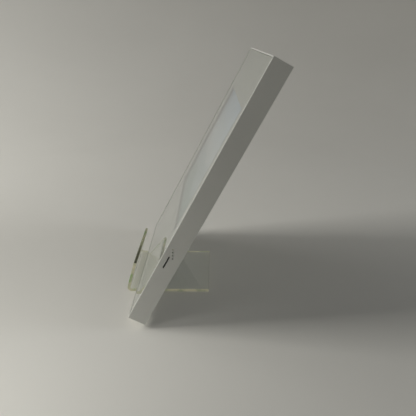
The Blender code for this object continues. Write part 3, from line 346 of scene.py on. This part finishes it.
def circuit_board(name="circuit_board"):
    """Green solder mask over copper tracks, with tinned dots."""
    shade = Shade(name)
    leaning = shade.coordinates(turn=(LEAN, 0.0, 0.0))
    tracks = shade.cells(330.0, "DISTANCE_TO_EDGE", leaning)
    line = shade.spread(tracks, 1.0, 0.0, 0.045, 0.06)
    mask = shade.blend(line, (0.012, 0.135, 0.055), (0.030, 0.235, 0.095))
    vias = shade.spread(shade.cells(560.0), 1.0, 0.0, 0.10, 0.13)
    shade.colour(shade.blend(vias, mask, (0.62, 0.60, 0.55)))
    shade.link(shade.sums("MULTIPLY", vias, 0.9), shade.bsdf.inputs["Metallic"])
    shade.rough(shade.spread(shade.noise(400.0), 0.25, 0.42, 0.3, 0.7))
    shade.bump(shade.sums("ADD", line, vias), 0.03 * MM)
    return shade.material


def lit_picture(name="lit_picture"):
    """The panel showing a calm picture of its own design: pale sky, mist and soft hills."""
    shade = Shade(name)
    low, high = reach("lcd_cell", UP)
    place = shade.node("ShaderNodeTexCoord")
    height = shade.node("ShaderNodeVectorMath", operation="DOT_PRODUCT")
    height.inputs[1].default_value = UP
    shade.link(place.outputs["Object"], height.inputs[0])
    share = shade.spread(height.outputs["Value"], 0.0, 1.0, low, high)
    ridges = shade.noise(1.0, 6.0, 0.52, shade.coordinates((22.0, 0.0, 0.0)))
    nearer = shade.noise(1.0, 5.0, 0.50, shade.coordinates((13.0, 0.0, 0.0), (0.0, 0.0, 0.6)))
    haze = [(0.30, (0.80, 0.80, 0.72)), (0.62, (0.66, 0.74, 0.76)), (1.0, (0.42, 0.56, 0.68))]
    sky = shade.ramp(share, haze)
    far = shade.sums("SUBTRACT", share, shade.spread(ridges, 0.34, 0.60, 0.3, 0.7))
    near = shade.sums("SUBTRACT", share, shade.spread(nearer, 0.12, 0.40, 0.3, 0.7))
    hills = shade.blend(shade.spread(far, 1.0, 0.0, -0.004, 0.004), sky, (0.44, 0.53, 0.54))
    picture = shade.blend(shade.spread(near, 1.0, 0.0, -0.004, 0.004), hills, (0.24, 0.36, 0.33))
    shade.colour(shade.blend(share, (0.02, 0.02, 0.022), (0.03, 0.03, 0.034)))
    shade.link(picture, shade.bsdf.inputs["Emission Color"])
    shade.put(Emission_Strength=0.42, Roughness=0.22)
    shade.bump(shade.noise(3200.0, 1.0), 0.004 * MM)
    return shade.material


def film(name, colour, rough):
    """Thin plastic film or rubber, faintly clouded."""
    shade = Shade(name)
    cloud = shade.noise(60.0, 3.0)
    shade.colour(shade.ramp(cloud, [(0.3, tinted(colour, 0.93)), (0.7, colour)]))
    shade.rough(shade.spread(shade.noise(800.0), rough - 0.08, rough + 0.1, 0.3, 0.7))
    shade.bump(shade.noise(1800.0), 0.004 * MM)
    return shade.material


def flex_film(name="flex_film"):
    """Amber film with copper tracks along it."""
    shade = Shade(name)
    waves = shade.node("ShaderNodeTexWave", bands_direction="X")
    waves.inputs["Scale"].default_value = 320.0
    waves.inputs["Distortion"].default_value = 0.0
    shade.link(shade.coordinates(), waves.inputs["Vector"])
    track = shade.spread(waves.outputs["Fac"], 0.0, 1.0, 0.50, 0.58)
    shade.colour(shade.blend(track, (0.42, 0.20, 0.04), (0.66, 0.36, 0.12)))
    shade.rough(shade.spread(shade.noise(500.0), 0.28, 0.48, 0.3, 0.7))
    shade.bump(track, 0.02 * MM)
    return shade.material


# ---------------------------------------------------------------- mesh helpers
def leaned(bm):
    """Puts a shape drawn as (across, behind the front, above the foot) in its place on the leaning case."""
    for vertex in bm.verts:
        vertex.co = spot(*vertex.co)


SMOOTH_UNDER = radians(35.0)    # edges that turn by less than this are shaded smooth
BEVEL_OVER = radians(30.0)


def add_piece(name, bm, material, body, edge=0.0, segments=2):
    """A new piece from a bmesh, with its bevel, its material, its body and the slot of its finish."""
    bmesh.ops.recalc_face_normals(bm, faces=bm.faces)
    mesh = bpy.data.meshes.new(name)
    bm.to_mesh(mesh)
    bm.free()
    mesh.materials.append(material)
    piece = bpy.data.objects.new(name, mesh)
    bpy.context.scene.collection.objects.link(piece)
    mesh.shade_smooth()
    mesh.set_sharp_from_angle(angle=SMOOTH_UNDER)
    if edge > 0:
        bevel = piece.modifiers.new("edges", "BEVEL")
        bevel.width = edge
        bevel.segments = segments
        bevel.limit_method = "ANGLE"
        bevel.angle_limit = BEVEL_OVER
    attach(piece, body)
    return piece


def add_block(bm, low, high):
    """A box between two corners."""
    size = Vector(high) - Vector(low)
    centre = (Vector(high) + Vector(low)) / 2
    bmesh.ops.create_cube(bm, size=1.0, matrix=Matrix.Translation(centre) @ Matrix.Diagonal((*size, 1.0)))


def add_slab(bm, outline, low, high):
    """An outline of (across, up) pairs, extruded from one depth to another."""
    floor = [bm.verts.new((x, low, z)) for x, z in outline]
    roof = [bm.verts.new((x, high, z)) for x, z in outline]
    bm.faces.new(floor)
    bm.faces.new(list(reversed(roof)))
    for step, corner in enumerate(floor):
        after = (step + 1) % len(floor)
        bm.faces.new([floor[after], corner, roof[step], roof[after]])


def join_rings(bm, pairs, sides):
    """Faces between neighbouring rings of points; a ring of one point is a tip."""
    for lower, upper in pairs:
        for step in range(sides):
            after = (step + 1) % sides
            corners = [lower[step % len(lower)], lower[after % len(lower)],
                       upper[after % len(upper)], upper[step % len(upper)]]
            bm.faces.new(list(dict.fromkeys(corners)))


def add_turned(bm, centre, profile, sides=32):
    """A closed turned body about the depth axis: profile is (radius, depth)."""
    rows = []
    for radius, depth in profile:
        count = sides if radius > 0 else 1
        turns = [2 * pi * step / sides for step in range(count)]
        ring = [(centre[0] + radius * cos(a), depth, centre[1] + radius * sin(a)) for a in turns]
        rows.append([bm.verts.new(point) for point in ring])
    pairs = list(zip(rows, rows[1:]))
    if len(rows[0]) > 1:
        pairs.append((rows[-1], rows[0]))
    join_rings(bm, pairs, sides)


def arc(centre, radius, start, end, steps):
    """Points along a stretch of a circle."""
    sweep = [start + (end - start) * step / steps for step in range(steps + 1)]
    return [(centre[0] + radius * cos(a), centre[1] + radius * sin(a)) for a in sweep]


def band(centre, inner, outer, start, end, steps=24):
    """Outline of a stretch of a flat ring."""
    return arc(centre, outer, start, end, steps) + arc(centre, inner, end, start, steps)


# ---------------------------------------------------------------- the keys' signs
ICON_SIZE = 1.05 * MM
ICON_LINE = 0.16 * MM           # half the width of a line
ICON_PROUD = 0.04 * MM
ICON_SUNK = 0.05 * MM
ICON_EDGE = 0.02 * MM


def box_outline(left, right, low, high):
    """The corners of an upright rectangle."""
    return [(left, low), (right, low), (right, high), (left, high)]


def icon_outlines(word, x, z):
    """Plain signs for the keys: a broken ring, three bars, arrowheads and a ring with a dot."""
    size = ICON_SIZE
    line = ICON_LINE
    if word == "power":
        ring = band((x, z), size - 2 * line, size, radians(120), radians(420))
        return [ring, box_outline(x - line, x + line, z + size * 0.1, z + size * 1.3)]
    if word == "menu":
        rows = (z - size * 0.75, z, z + size * 0.75)
        return [box_outline(x - size, x + size, row - line, row + line) for row in rows]
    if word == "enter":
        ring = band((x, z), size - 2 * line, size, 0.0, radians(359.0))
        return [ring, arc((x, z), size * 0.3, 0.0, radians(345), 15)]
    way = 1.0 if word == "up" else -1.0
    foot = z - way * size * 0.6
    inner = size - 2.6 * line
    return [[(x - size, foot), (x, z + way * size * 0.75), (x + size, foot),
             (x + inner, foot), (x, z + way * size * 0.22), (x - inner, foot)]]


def make_icons(ink):
    """Each key's sign, printed a hair proud of the key."""
    for word in ("power", "menu", "up", "enter", "down"):
        key = "button_" + word
        x, z = middle(key)
        top = rear_face(key)
        for number, outline in enumerate(icon_outlines(word, x, z)):
            bm = bmesh.new()
            add_slab(bm, outline, top - ICON_SUNK, top + ICON_PROUD)
            leaned(bm)
            add_piece("icon_%s_%d" % (word, number + 1), bm, ink, key, ICON_EDGE, 1)


# ---------------------------------------------------------------- power inlet and data socket
INLET_DEPTH = 4.2 * MM          # how far the sleeve and the pin reach in
SLEEVE_INSIDE = 2.75 * MM
SLEEVE_OUTSIDE = 3.05 * MM
SLEEVE_FLARE = 3.2 * MM
SLEEVE_PROUD = 0.1 * MM
SLEEVE_NECK = 0.25 * MM
SLEEVE_MOUTH = 0.35 * MM
PIN_RADIUS = 0.98 * MM
PIN_SHOULDER = 1.75 * MM        # the pin's rounded end starts this far in
PIN_DOME = 0.7 * MM
PIN_TIP = 1.02 * MM
TONGUE_HALF_W = 3.3 * MM
TONGUE_HALF_T = 0.35 * MM
TONGUE_ROOT = 4.4 * MM
TONGUE_TIP = 0.7 * MM
TONGUE_EDGE = 0.12 * MM
CONTACT_PITCH = 1.1 * MM
CONTACT_HALF_W = 0.27 * MM
CONTACT_HALF_T = 0.04 * MM
CONTACT_OUT = 0.36 * MM         # the contacts' middle, from the tongue's
CONTACT_ROOT = 3.6 * MM
CONTACT_TIP = 0.95 * MM
CONTACT_EDGE = 0.02 * MM


def make_inlet(metal):
    """Spring sleeve and centre pin of the power inlet."""
    centre = middle("dc_jack")
    top = rear_face("dc_jack")
    bm = bmesh.new()
    add_turned(bm, centre, [(SLEEVE_OUTSIDE, top - INLET_DEPTH), (SLEEVE_OUTSIDE, top - SLEEVE_NECK),
                            (SLEEVE_FLARE, top + SLEEVE_PROUD), (SLEEVE_INSIDE, top - SLEEVE_MOUTH),
                            (SLEEVE_INSIDE, top - INLET_DEPTH)])
    leaned(bm)
    add_piece("jack_sleeve", bm, metal, "case")
    dome = [(PIN_RADIUS * cos(a), top - PIN_SHOULDER + PIN_DOME * sin(a))
            for a in (radians(15 * step) for step in range(6))]
    foot = [(0, top - INLET_DEPTH), (PIN_RADIUS, top - INLET_DEPTH)]
    bm = bmesh.new()
    add_turned(bm, centre, foot + dome + [(0, top - PIN_TIP)], 24)
    leaned(bm)
    add_piece("jack_pin", bm, metal, "case")


def make_data_socket(plastic, gold):
    """Tongue and contacts of the data socket."""
    x, z = middle("usb_socket")
    top = rear_face("usb_socket")
    bm = bmesh.new()
    add_block(bm, (x - TONGUE_HALF_W, top - TONGUE_ROOT, z - TONGUE_HALF_T),
              (x + TONGUE_HALF_W, top - TONGUE_TIP, z + TONGUE_HALF_T))
    leaned(bm)
    add_piece("usb_tongue", bm, plastic, "case", TONGUE_EDGE)
    bm = bmesh.new()
    for step in range(-2, 3):
        for side in (-1, 1):
            at = x + step * CONTACT_PITCH
            out = z + side * CONTACT_OUT
            add_block(bm, (at - CONTACT_HALF_W, top - CONTACT_ROOT, out - CONTACT_HALF_T),
                      (at + CONTACT_HALF_W, top - CONTACT_TIP, out + CONTACT_HALF_T))
    leaned(bm)
    add_piece("usb_contacts", bm, gold, "case", CONTACT_EDGE, 1)


# ---------------------------------------------------------------- speakers
ROLL_RADIUS = 6.7 * MM          # radius of the surround's crest
ROLL_HALF_W = 0.9 * MM
ROLL_HEIGHT = 0.6 * MM
ROLL_FOOT = 0.75 * MM           # this and the depths that follow are taken from the speaker's rim
SURROUND_OUTER = (7.6 * MM, 1.2 * MM)       # radius and depth
SURROUND_INNER = (5.8 * MM, 1.6 * MM)
CAP_RADIUS = 3.4 * MM
CAP_FOOT = 1.5 * MM
CAP_RIM = 1.25 * MM
CAP_HEIGHT = 0.8 * MM
CAP_TOP = 0.45 * MM


def make_speaker_parts(rubber, cone):
    """Rolled surround and dust cap on each speaker's dish."""
    for word in ("left", "right"):
        node = "speaker_" + word
        centre = middle(node)
        top = rear_face(node)
        roll = [(ROLL_RADIUS + ROLL_HALF_W * cos(a), top - ROLL_FOOT + ROLL_HEIGHT * sin(a))
                for a in (radians(180 - 20 * step) for step in range(10))]
        skirt = [(radius, top - depth) for radius, depth in (SURROUND_OUTER, SURROUND_INNER)]
        bm = bmesh.new()
        add_turned(bm, centre, roll + skirt, 48)
        leaned(bm)
        add_piece("speaker_surround_" + word, bm, rubber, "case")
        cap = [(CAP_RADIUS * cos(a), top - CAP_RIM + CAP_HEIGHT * sin(a))
               for a in (radians(10 * step) for step in range(9))]
        foot = [(0, top - CAP_FOOT), (CAP_RADIUS, top - CAP_FOOT)]
        bm = bmesh.new()
        add_turned(bm, centre, foot + cap + [(0, top - CAP_TOP)], 40)
        leaned(bm)
        add_piece("speaker_cap_" + word, bm, cone, "case")


# ---------------------------------------------------------------- parts on the main board
# left, bottom, width and height of each chip, in mm from the board's lower left corner
CHIPS = [(8.5, 36.0, 7.0, 5.0), (61.5, 35.0, 8.0, 4.6), (36.5, 15.5, 5.0, 6.0), (57.5, 5.5, 5.0, 4.0)]
CHIP_UNDER = 0.12 * MM          # heights above the board
CHIP_TOP = 1.1 * MM
CHIP_EDGE = 0.15 * MM
SOLDER = 0.02 * MM
LEG_PITCH = 0.8                 # in mm, at least
LEG_HALF_W = 0.15 * MM
LEG_TOP = 0.35 * MM
LEG_IN = 0.1 * MM
LEG_OUT = 0.65 * MM
LEG_EDGE = 0.04 * MM
PASSIVE_SIZE = (1.6 * MM, 0.8 * MM)
PASSIVE_TOP = 0.7 * MM
PASSIVE_EDGE = 0.1 * MM
PASSIVE_COUNT = 14
PASSIVE_FIRST = 10.0            # in mm from the board's left edge, as all that follow
PASSIVE_PITCH = 4.4
LOW_ROW = (9.3, 1.7)            # height of the row, and the step between its two lines
HIGH_ROW = (37.5, 2.4)          # the same for the row above the processor's shield, which has three
HIGH_STRETCH = (19.0, 51.0)     # where the row runs above the shield
GAP_STRETCH = (36.0, 50.0)      # where the row stops for the radio module


def make_chip(number, low_x, low_z, face, body, tin):
    """One moulded chip and its two rows of legs."""
    left, bottom, width, height = CHIPS[number - 1]
    x = low_x + left * MM
    z = low_z + bottom * MM
    bm = bmesh.new()
    add_block(bm, (x, face + CHIP_UNDER, z), (x + width * MM, face + CHIP_TOP, z + height * MM))
    leaned(bm)
    add_piece("chip_%d" % number, bm, body, "case", CHIP_EDGE)
    bm = bmesh.new()
    count = int(width / LEG_PITCH)
    for step in range(count):
        at = x + (step + 0.5) * width * MM / count
        for side, edge in ((-1, z), (1, z + height * MM)):
            low, high = sorted((edge - side * LEG_IN, edge + side * LEG_OUT))
            add_block(bm, (at - LEG_HALF_W, face + SOLDER, low), (at + LEG_HALF_W, face + LEG_TOP, high))
    leaned(bm)
    add_piece("chip_legs_%d" % number, bm, tin, "case", LEG_EDGE, 1)


def make_board_parts(body, tin):
    """Moulded chips with their rows of legs, and small passives."""
    low_x = reach("main_board", ACROSS)[0]
    low_z = reach("main_board", UP)[0] - CASE_FOOT
    face = rear_face("main_board")
    for number in range(1, len(CHIPS) + 1):
        make_chip(number, low_x, low_z, face, body, tin)
    bm = bmesh.new()
    for step in range(PASSIVE_COUNT):
        along = PASSIVE_FIRST + PASSIVE_PITCH * step
        if GAP_STRETCH[0] < along < GAP_STRETCH[1]:
            continue
        height = LOW_ROW[0] + LOW_ROW[1] * (step % 2)
        if HIGH_STRETCH[0] < along < HIGH_STRETCH[1]:
            height = HIGH_ROW[0] + HIGH_ROW[1] * (step % 3)
        x = low_x + along * MM
        z = low_z + height * MM
        add_block(bm, (x, face + SOLDER, z), (x + PASSIVE_SIZE[0], face + PASSIVE_TOP, z + PASSIVE_SIZE[1]))
    leaned(bm)
    add_piece("passives", bm, tin, "case", PASSIVE_EDGE)


# ---------------------------------------------------------------- the stand's cemented joint
BEAD_SIZE = 1.1 * MM
BEAD_INSET = 0.6 * MM           # it stops this far from the rest plate's sides
BEAD_LIFT = 0.02 * MM
BEAD_SKIN = 0.05 * MM
BEAD_UNDER = 0.15 * MM          # it reaches this far under the plate's foot
REAR_STRIP = 1.0 * MM


def base_top():
    """Height of the top of the stand's flat base, taken at its rear edge."""
    points = [vertex.co for vertex in NODES["stand_base"].data.vertices]
    rear = max(p.y for p in points)
    return max(p.z for p in points if p.y > rear - REAR_STRIP)


def make_cement_bead(acrylic):
    """Solvent-cement fillet along the foot of the stand's back rest."""
    plate = [vertex.co for vertex in NODES["stand_back_rest"].data.vertices]
    foot = min(plate, key=lambda p: (round(p.z, 4), p.y))
    rest_low, rest_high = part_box("stand_back_rest")
    top = base_top()
    front = foot.y - BEAD_SIZE
    outline = [(foot.y + BEAD_UNDER, top + BEAD_LIFT), (front, top + BEAD_LIFT)]
    outline += [(front + BEAD_SIZE * sin(a), top + BEAD_SKIN + BEAD_SIZE * (1 - cos(a)))
                for a in (radians(15 * step) for step in range(1, 7))]
    bm = bmesh.new()
    left = [bm.verts.new((rest_low.x + BEAD_INSET, y, z)) for y, z in outline]
    right = [bm.verts.new((rest_high.x - BEAD_INSET, y, z)) for y, z in outline]
    bm.faces.new(left)
    bm.faces.new(list(reversed(right)))
    for step in range(len(outline)):
        after = (step + 1) % len(outline)
        bm.faces.new([left[after], left[step], right[step], right[after]])
    add_piece("stand_cement_bead", bm, acrylic, "stand")


# ---------------------------------------------------------------- dressing the CAD nodes
def dress():
    """Gives every CAD node its finish, slot by slot, and makes the small pieces."""
    steel = sheet_metal("rolled_steel", (0.56, 0.565, 0.57), 0.30)
    tin = sheet_metal("tinned_steel", (0.70, 0.70, 0.69), 0.24, (500.0, 60.0, 500.0))
    gold = sheet_metal("gold_flash", (0.82, 0.62, 0.28), 0.22, (200.0, 200.0, 900.0))
    black = moulded_plastic("black_plastic", (0.018, 0.018, 0.019), 0.42, 1800.0, 0.015 * MM, 0.3)
    keys = moulded_plastic("key_grey", (0.36, 0.365, 0.37), 0.40, 2200.0, 0.012 * MM)
    ink = moulded_plastic("icon_ink", (0.09, 0.092, 0.10), 0.50, 3000.0, 0.004 * MM, 0.2)
    lip_end = max(NODES["stand_base"].data.polygons, key=lambda face: face.center.z).normal
    stand = clear_acrylic("stand_acrylic", STAND_TINT, STAND_DENSITY, ends=((0.0, 1.0, 0.0), tuple(lip_end)))
    finishes = {
        "white_plastic": satin_shell(),
        "cover_plastic": textured_cover(),
        "button_plastic": keys,
        "inner_plastic": moulded_plastic("inner_white", (0.66, 0.66, 0.63), 0.55),
        "clear_glass": pane_glass(),
        "stand_acrylic": stand,
        "guide_acrylic": clear_acrylic("guide_acrylic", (0.80, 0.88, 0.80), 3.0, 0.12),
        "mat_card": card(),
        "black_foam": foam(),
        "sheet_steel": steel,
        "bright_steel": tin,
        "screw_steel": zinc_screw(),
        "screen_glass": lit_picture(),
        "film_plastic": film("white_film", (0.84, 0.85, 0.84), 0.32),
        "circuit_board": circuit_board(),
        "black_plastic": black,
        "lead_rubber": film("lead_rubber", (0.05, 0.05, 0.052), 0.55),
        "flex_film": flex_film(),
    }
    for part in frame["record"]["subparts"]:
        mesh = NODES[part["node"]].data
        mesh.materials.clear()
        mesh.materials.append(finishes[part["material_slot"]])
    rest = NODES["stand_back_rest"].data
    rest.materials[0] = clear_acrylic("rest_acrylic", STAND_TINT, STAND_DENSITY, flat_way=BACK)
    make_icons(ink)
    make_inlet(tin)
    make_data_socket(black, gold)
    rubber = film("surround_rubber", (0.02, 0.02, 0.02), 0.6)
    cone = film("cone_film", (0.06, 0.06, 0.065), 0.3)
    make_speaker_parts(rubber, cone)
    make_board_parts(black, tin)
    make_cement_bead(stand)


# ---------------------------------------------------------------- studio
FLOOR_DROP = 0.2 * MM           # the floor lies a hair under the stand, so that their faces don't coincide
FLOOR_FLAT = 0.55               # behind the object the sweep starts to rise this far from it
FLOOR_BEND = 1.30
WALL_TOP = 2.4
SWEEP_SIDES = 120
SWEEP_STEPS = 18
SWEEP_RISE = 0.75               # how much of its height the sweep has beside the object

# name, place, what it points at, size, power in watts, colour, shown in mirrors, beam in degrees
LAMPS = [
    ("window_left", (0.07, -1.20, 0.86), (0.05, 0.0, 0.0), (0.50, 0.45), 9.6,
     (1.0, 0.985, 0.935), False, 180.0),
    ("window_right", (0.10, 1.05, 0.62), (0.05, -0.1, 0.0), (0.30, 0.30), 1.5,
     (0.95, 0.98, 1.0), True, 180.0),
    ("floor_wash", (0.28, -0.24, 0.36), (0.25, -0.19, 0.0), (0.12, 0.12), 0.10,
     (1.0, 0.99, 0.94), False, 80.0),
    ("backdrop_wash", (-0.45, -1.00, 1.05), (-1.20, -0.75, 0.25), (0.9, 0.9), 4.0,
     (1.0, 0.99, 0.96), False, 180.0),
]
ROOM_COLOUR = (0.97, 0.98, 1.0)
ROOM_GLOW = 0.045
BACKDROP_COLOUR = (0.97, 0.97, 0.94)
BACKDROP_GLOW = 0.26            # what is seen past the sweep's edge


def make_floor():
    """A pale seamless floor that sweeps up behind the object and stays flat on the open side, at +X."""
    shade = Shade("studio_floor")
    cloud = shade.noise(2.2, 4.0)
    shade.colour(shade.ramp(cloud, [(0.3, (0.760, 0.750, 0.710)), (0.7, (0.790, 0.780, 0.740))]))
    shade.rough(shade.spread(shade.noise(30.0), 0.62, 0.75, 0.3, 0.7))
    shade.bump(shade.noise(900.0), 0.02 * MM)
    profile = [(0.0, 0.0), (FLOOR_FLAT / 2, 0.0)]
    profile += [(FLOOR_FLAT + FLOOR_BEND * sin(a), FLOOR_BEND * (1 - cos(a)))
                for a in (radians(90 * step / SWEEP_STEPS) for step in range(SWEEP_STEPS + 1))]
    profile.append((FLOOR_FLAT + FLOOR_BEND, WALL_TOP))
    bm = bmesh.new()
    rows = []
    for radius, height in profile:
        row = []
        for step in range(SWEEP_SIDES if radius > 0 else 1):
            turn = 2 * pi * step / SWEEP_SIDES
            rise = max(0.0, min(1.0, SWEEP_RISE - SWEEP_RISE * cos(turn)))
            row.append(bm.verts.new((radius * cos(turn), radius * sin(turn), height * rise - FLOOR_DROP)))
        rows.append(row)
    join_rings(bm, zip(rows, rows[1:]), SWEEP_SIDES)
    bmesh.ops.recalc_face_normals(bm, faces=bm.faces)
    mesh = bpy.data.meshes.new("studio_floor")
    bm.to_mesh(mesh)
    bm.free()
    mesh.shade_smooth()
    mesh.materials.append(shade.material)
    floor = bpy.data.objects.new("studio_floor", mesh)
    bpy.context.scene.collection.objects.link(floor)


def make_light(name, place, target, size, power, colour, mirrored, beam):
    """A rectangular lamp that points at a target."""
    lamp = bpy.data.lights.new(name, "AREA")
    lamp.spread = radians(beam)
    lamp.shape = "RECTANGLE"
    lamp.size, lamp.size_y = size
    lamp.energy = power
    lamp.color = colour
    holder = bpy.data.objects.new(name, lamp)
    holder.location = place
    holder.rotation_euler = (Vector(target) - Vector(place)).to_track_quat("-Z", "Y").to_euler()
    holder.visible_glossy = mirrored
    holder.visible_transmission = mirrored
    bpy.context.scene.collection.objects.link(holder)


def make_world():
    """A dim room, with a plain backdrop beyond the sweep."""
    world = bpy.data.worlds.new("studio")
    world.use_nodes = True
    tree = world.node_tree
    room = tree.nodes["Background"]
    room.inputs["Color"].default_value = (*ROOM_COLOUR, 1.0)
    room.inputs["Strength"].default_value = ROOM_GLOW
    backdrop = tree.nodes.new("ShaderNodeBackground")
    backdrop.inputs["Color"].default_value = (*BACKDROP_COLOUR, 1.0)
    backdrop.inputs["Strength"].default_value = BACKDROP_GLOW
    path = tree.nodes.new("ShaderNodeLightPath")
    mix = tree.nodes.new("ShaderNodeMixShader")
    tree.links.new(path.outputs["Is Camera Ray"], mix.inputs["Fac"])
    tree.links.new(room.outputs["Background"], mix.inputs[1])
    tree.links.new(backdrop.outputs["Background"], mix.inputs[2])
    tree.links.new(mix.outputs["Shader"], tree.nodes["World Output"].inputs["Surface"])
    bpy.context.scene.world = world


CAMERA_OFFSET = (0.3292, 0.0763, 0.2465)    # from the case's right, foremost and lowest sides
CAMERA_PITCH = radians(21.77)
CAMERA_YAW = radians(-0.71)
CAMERA_LENS = 37.8


def make_camera():
    """The camera, on the object's right and looking a little down."""
    low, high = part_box("front_shell")
    data = bpy.data.cameras.new("camera")
    data.lens = CAMERA_LENS
    data.sensor_width = 36.0
    data.clip_start = 0.01
    camera = bpy.data.objects.new("camera", data)
    camera.location = (high.x + CAMERA_OFFSET[0], low.y + CAMERA_OFFSET[1], low.z + CAMERA_OFFSET[2])
    level = cos(CAMERA_PITCH)
    forward = Vector((-cos(CAMERA_YAW) * level, sin(CAMERA_YAW) * level, -sin(CAMERA_PITCH)))
    camera.rotation_euler = forward.to_track_quat("-Z", "Y").to_euler()
    bpy.context.scene.collection.objects.link(camera)
    bpy.context.scene.camera = camera


bpy.context.scene.view_settings.view_transform = "Standard"
make_camera()
make_floor()
for lamp_values in LAMPS:
    make_light(*lamp_values)
make_world()
dress()
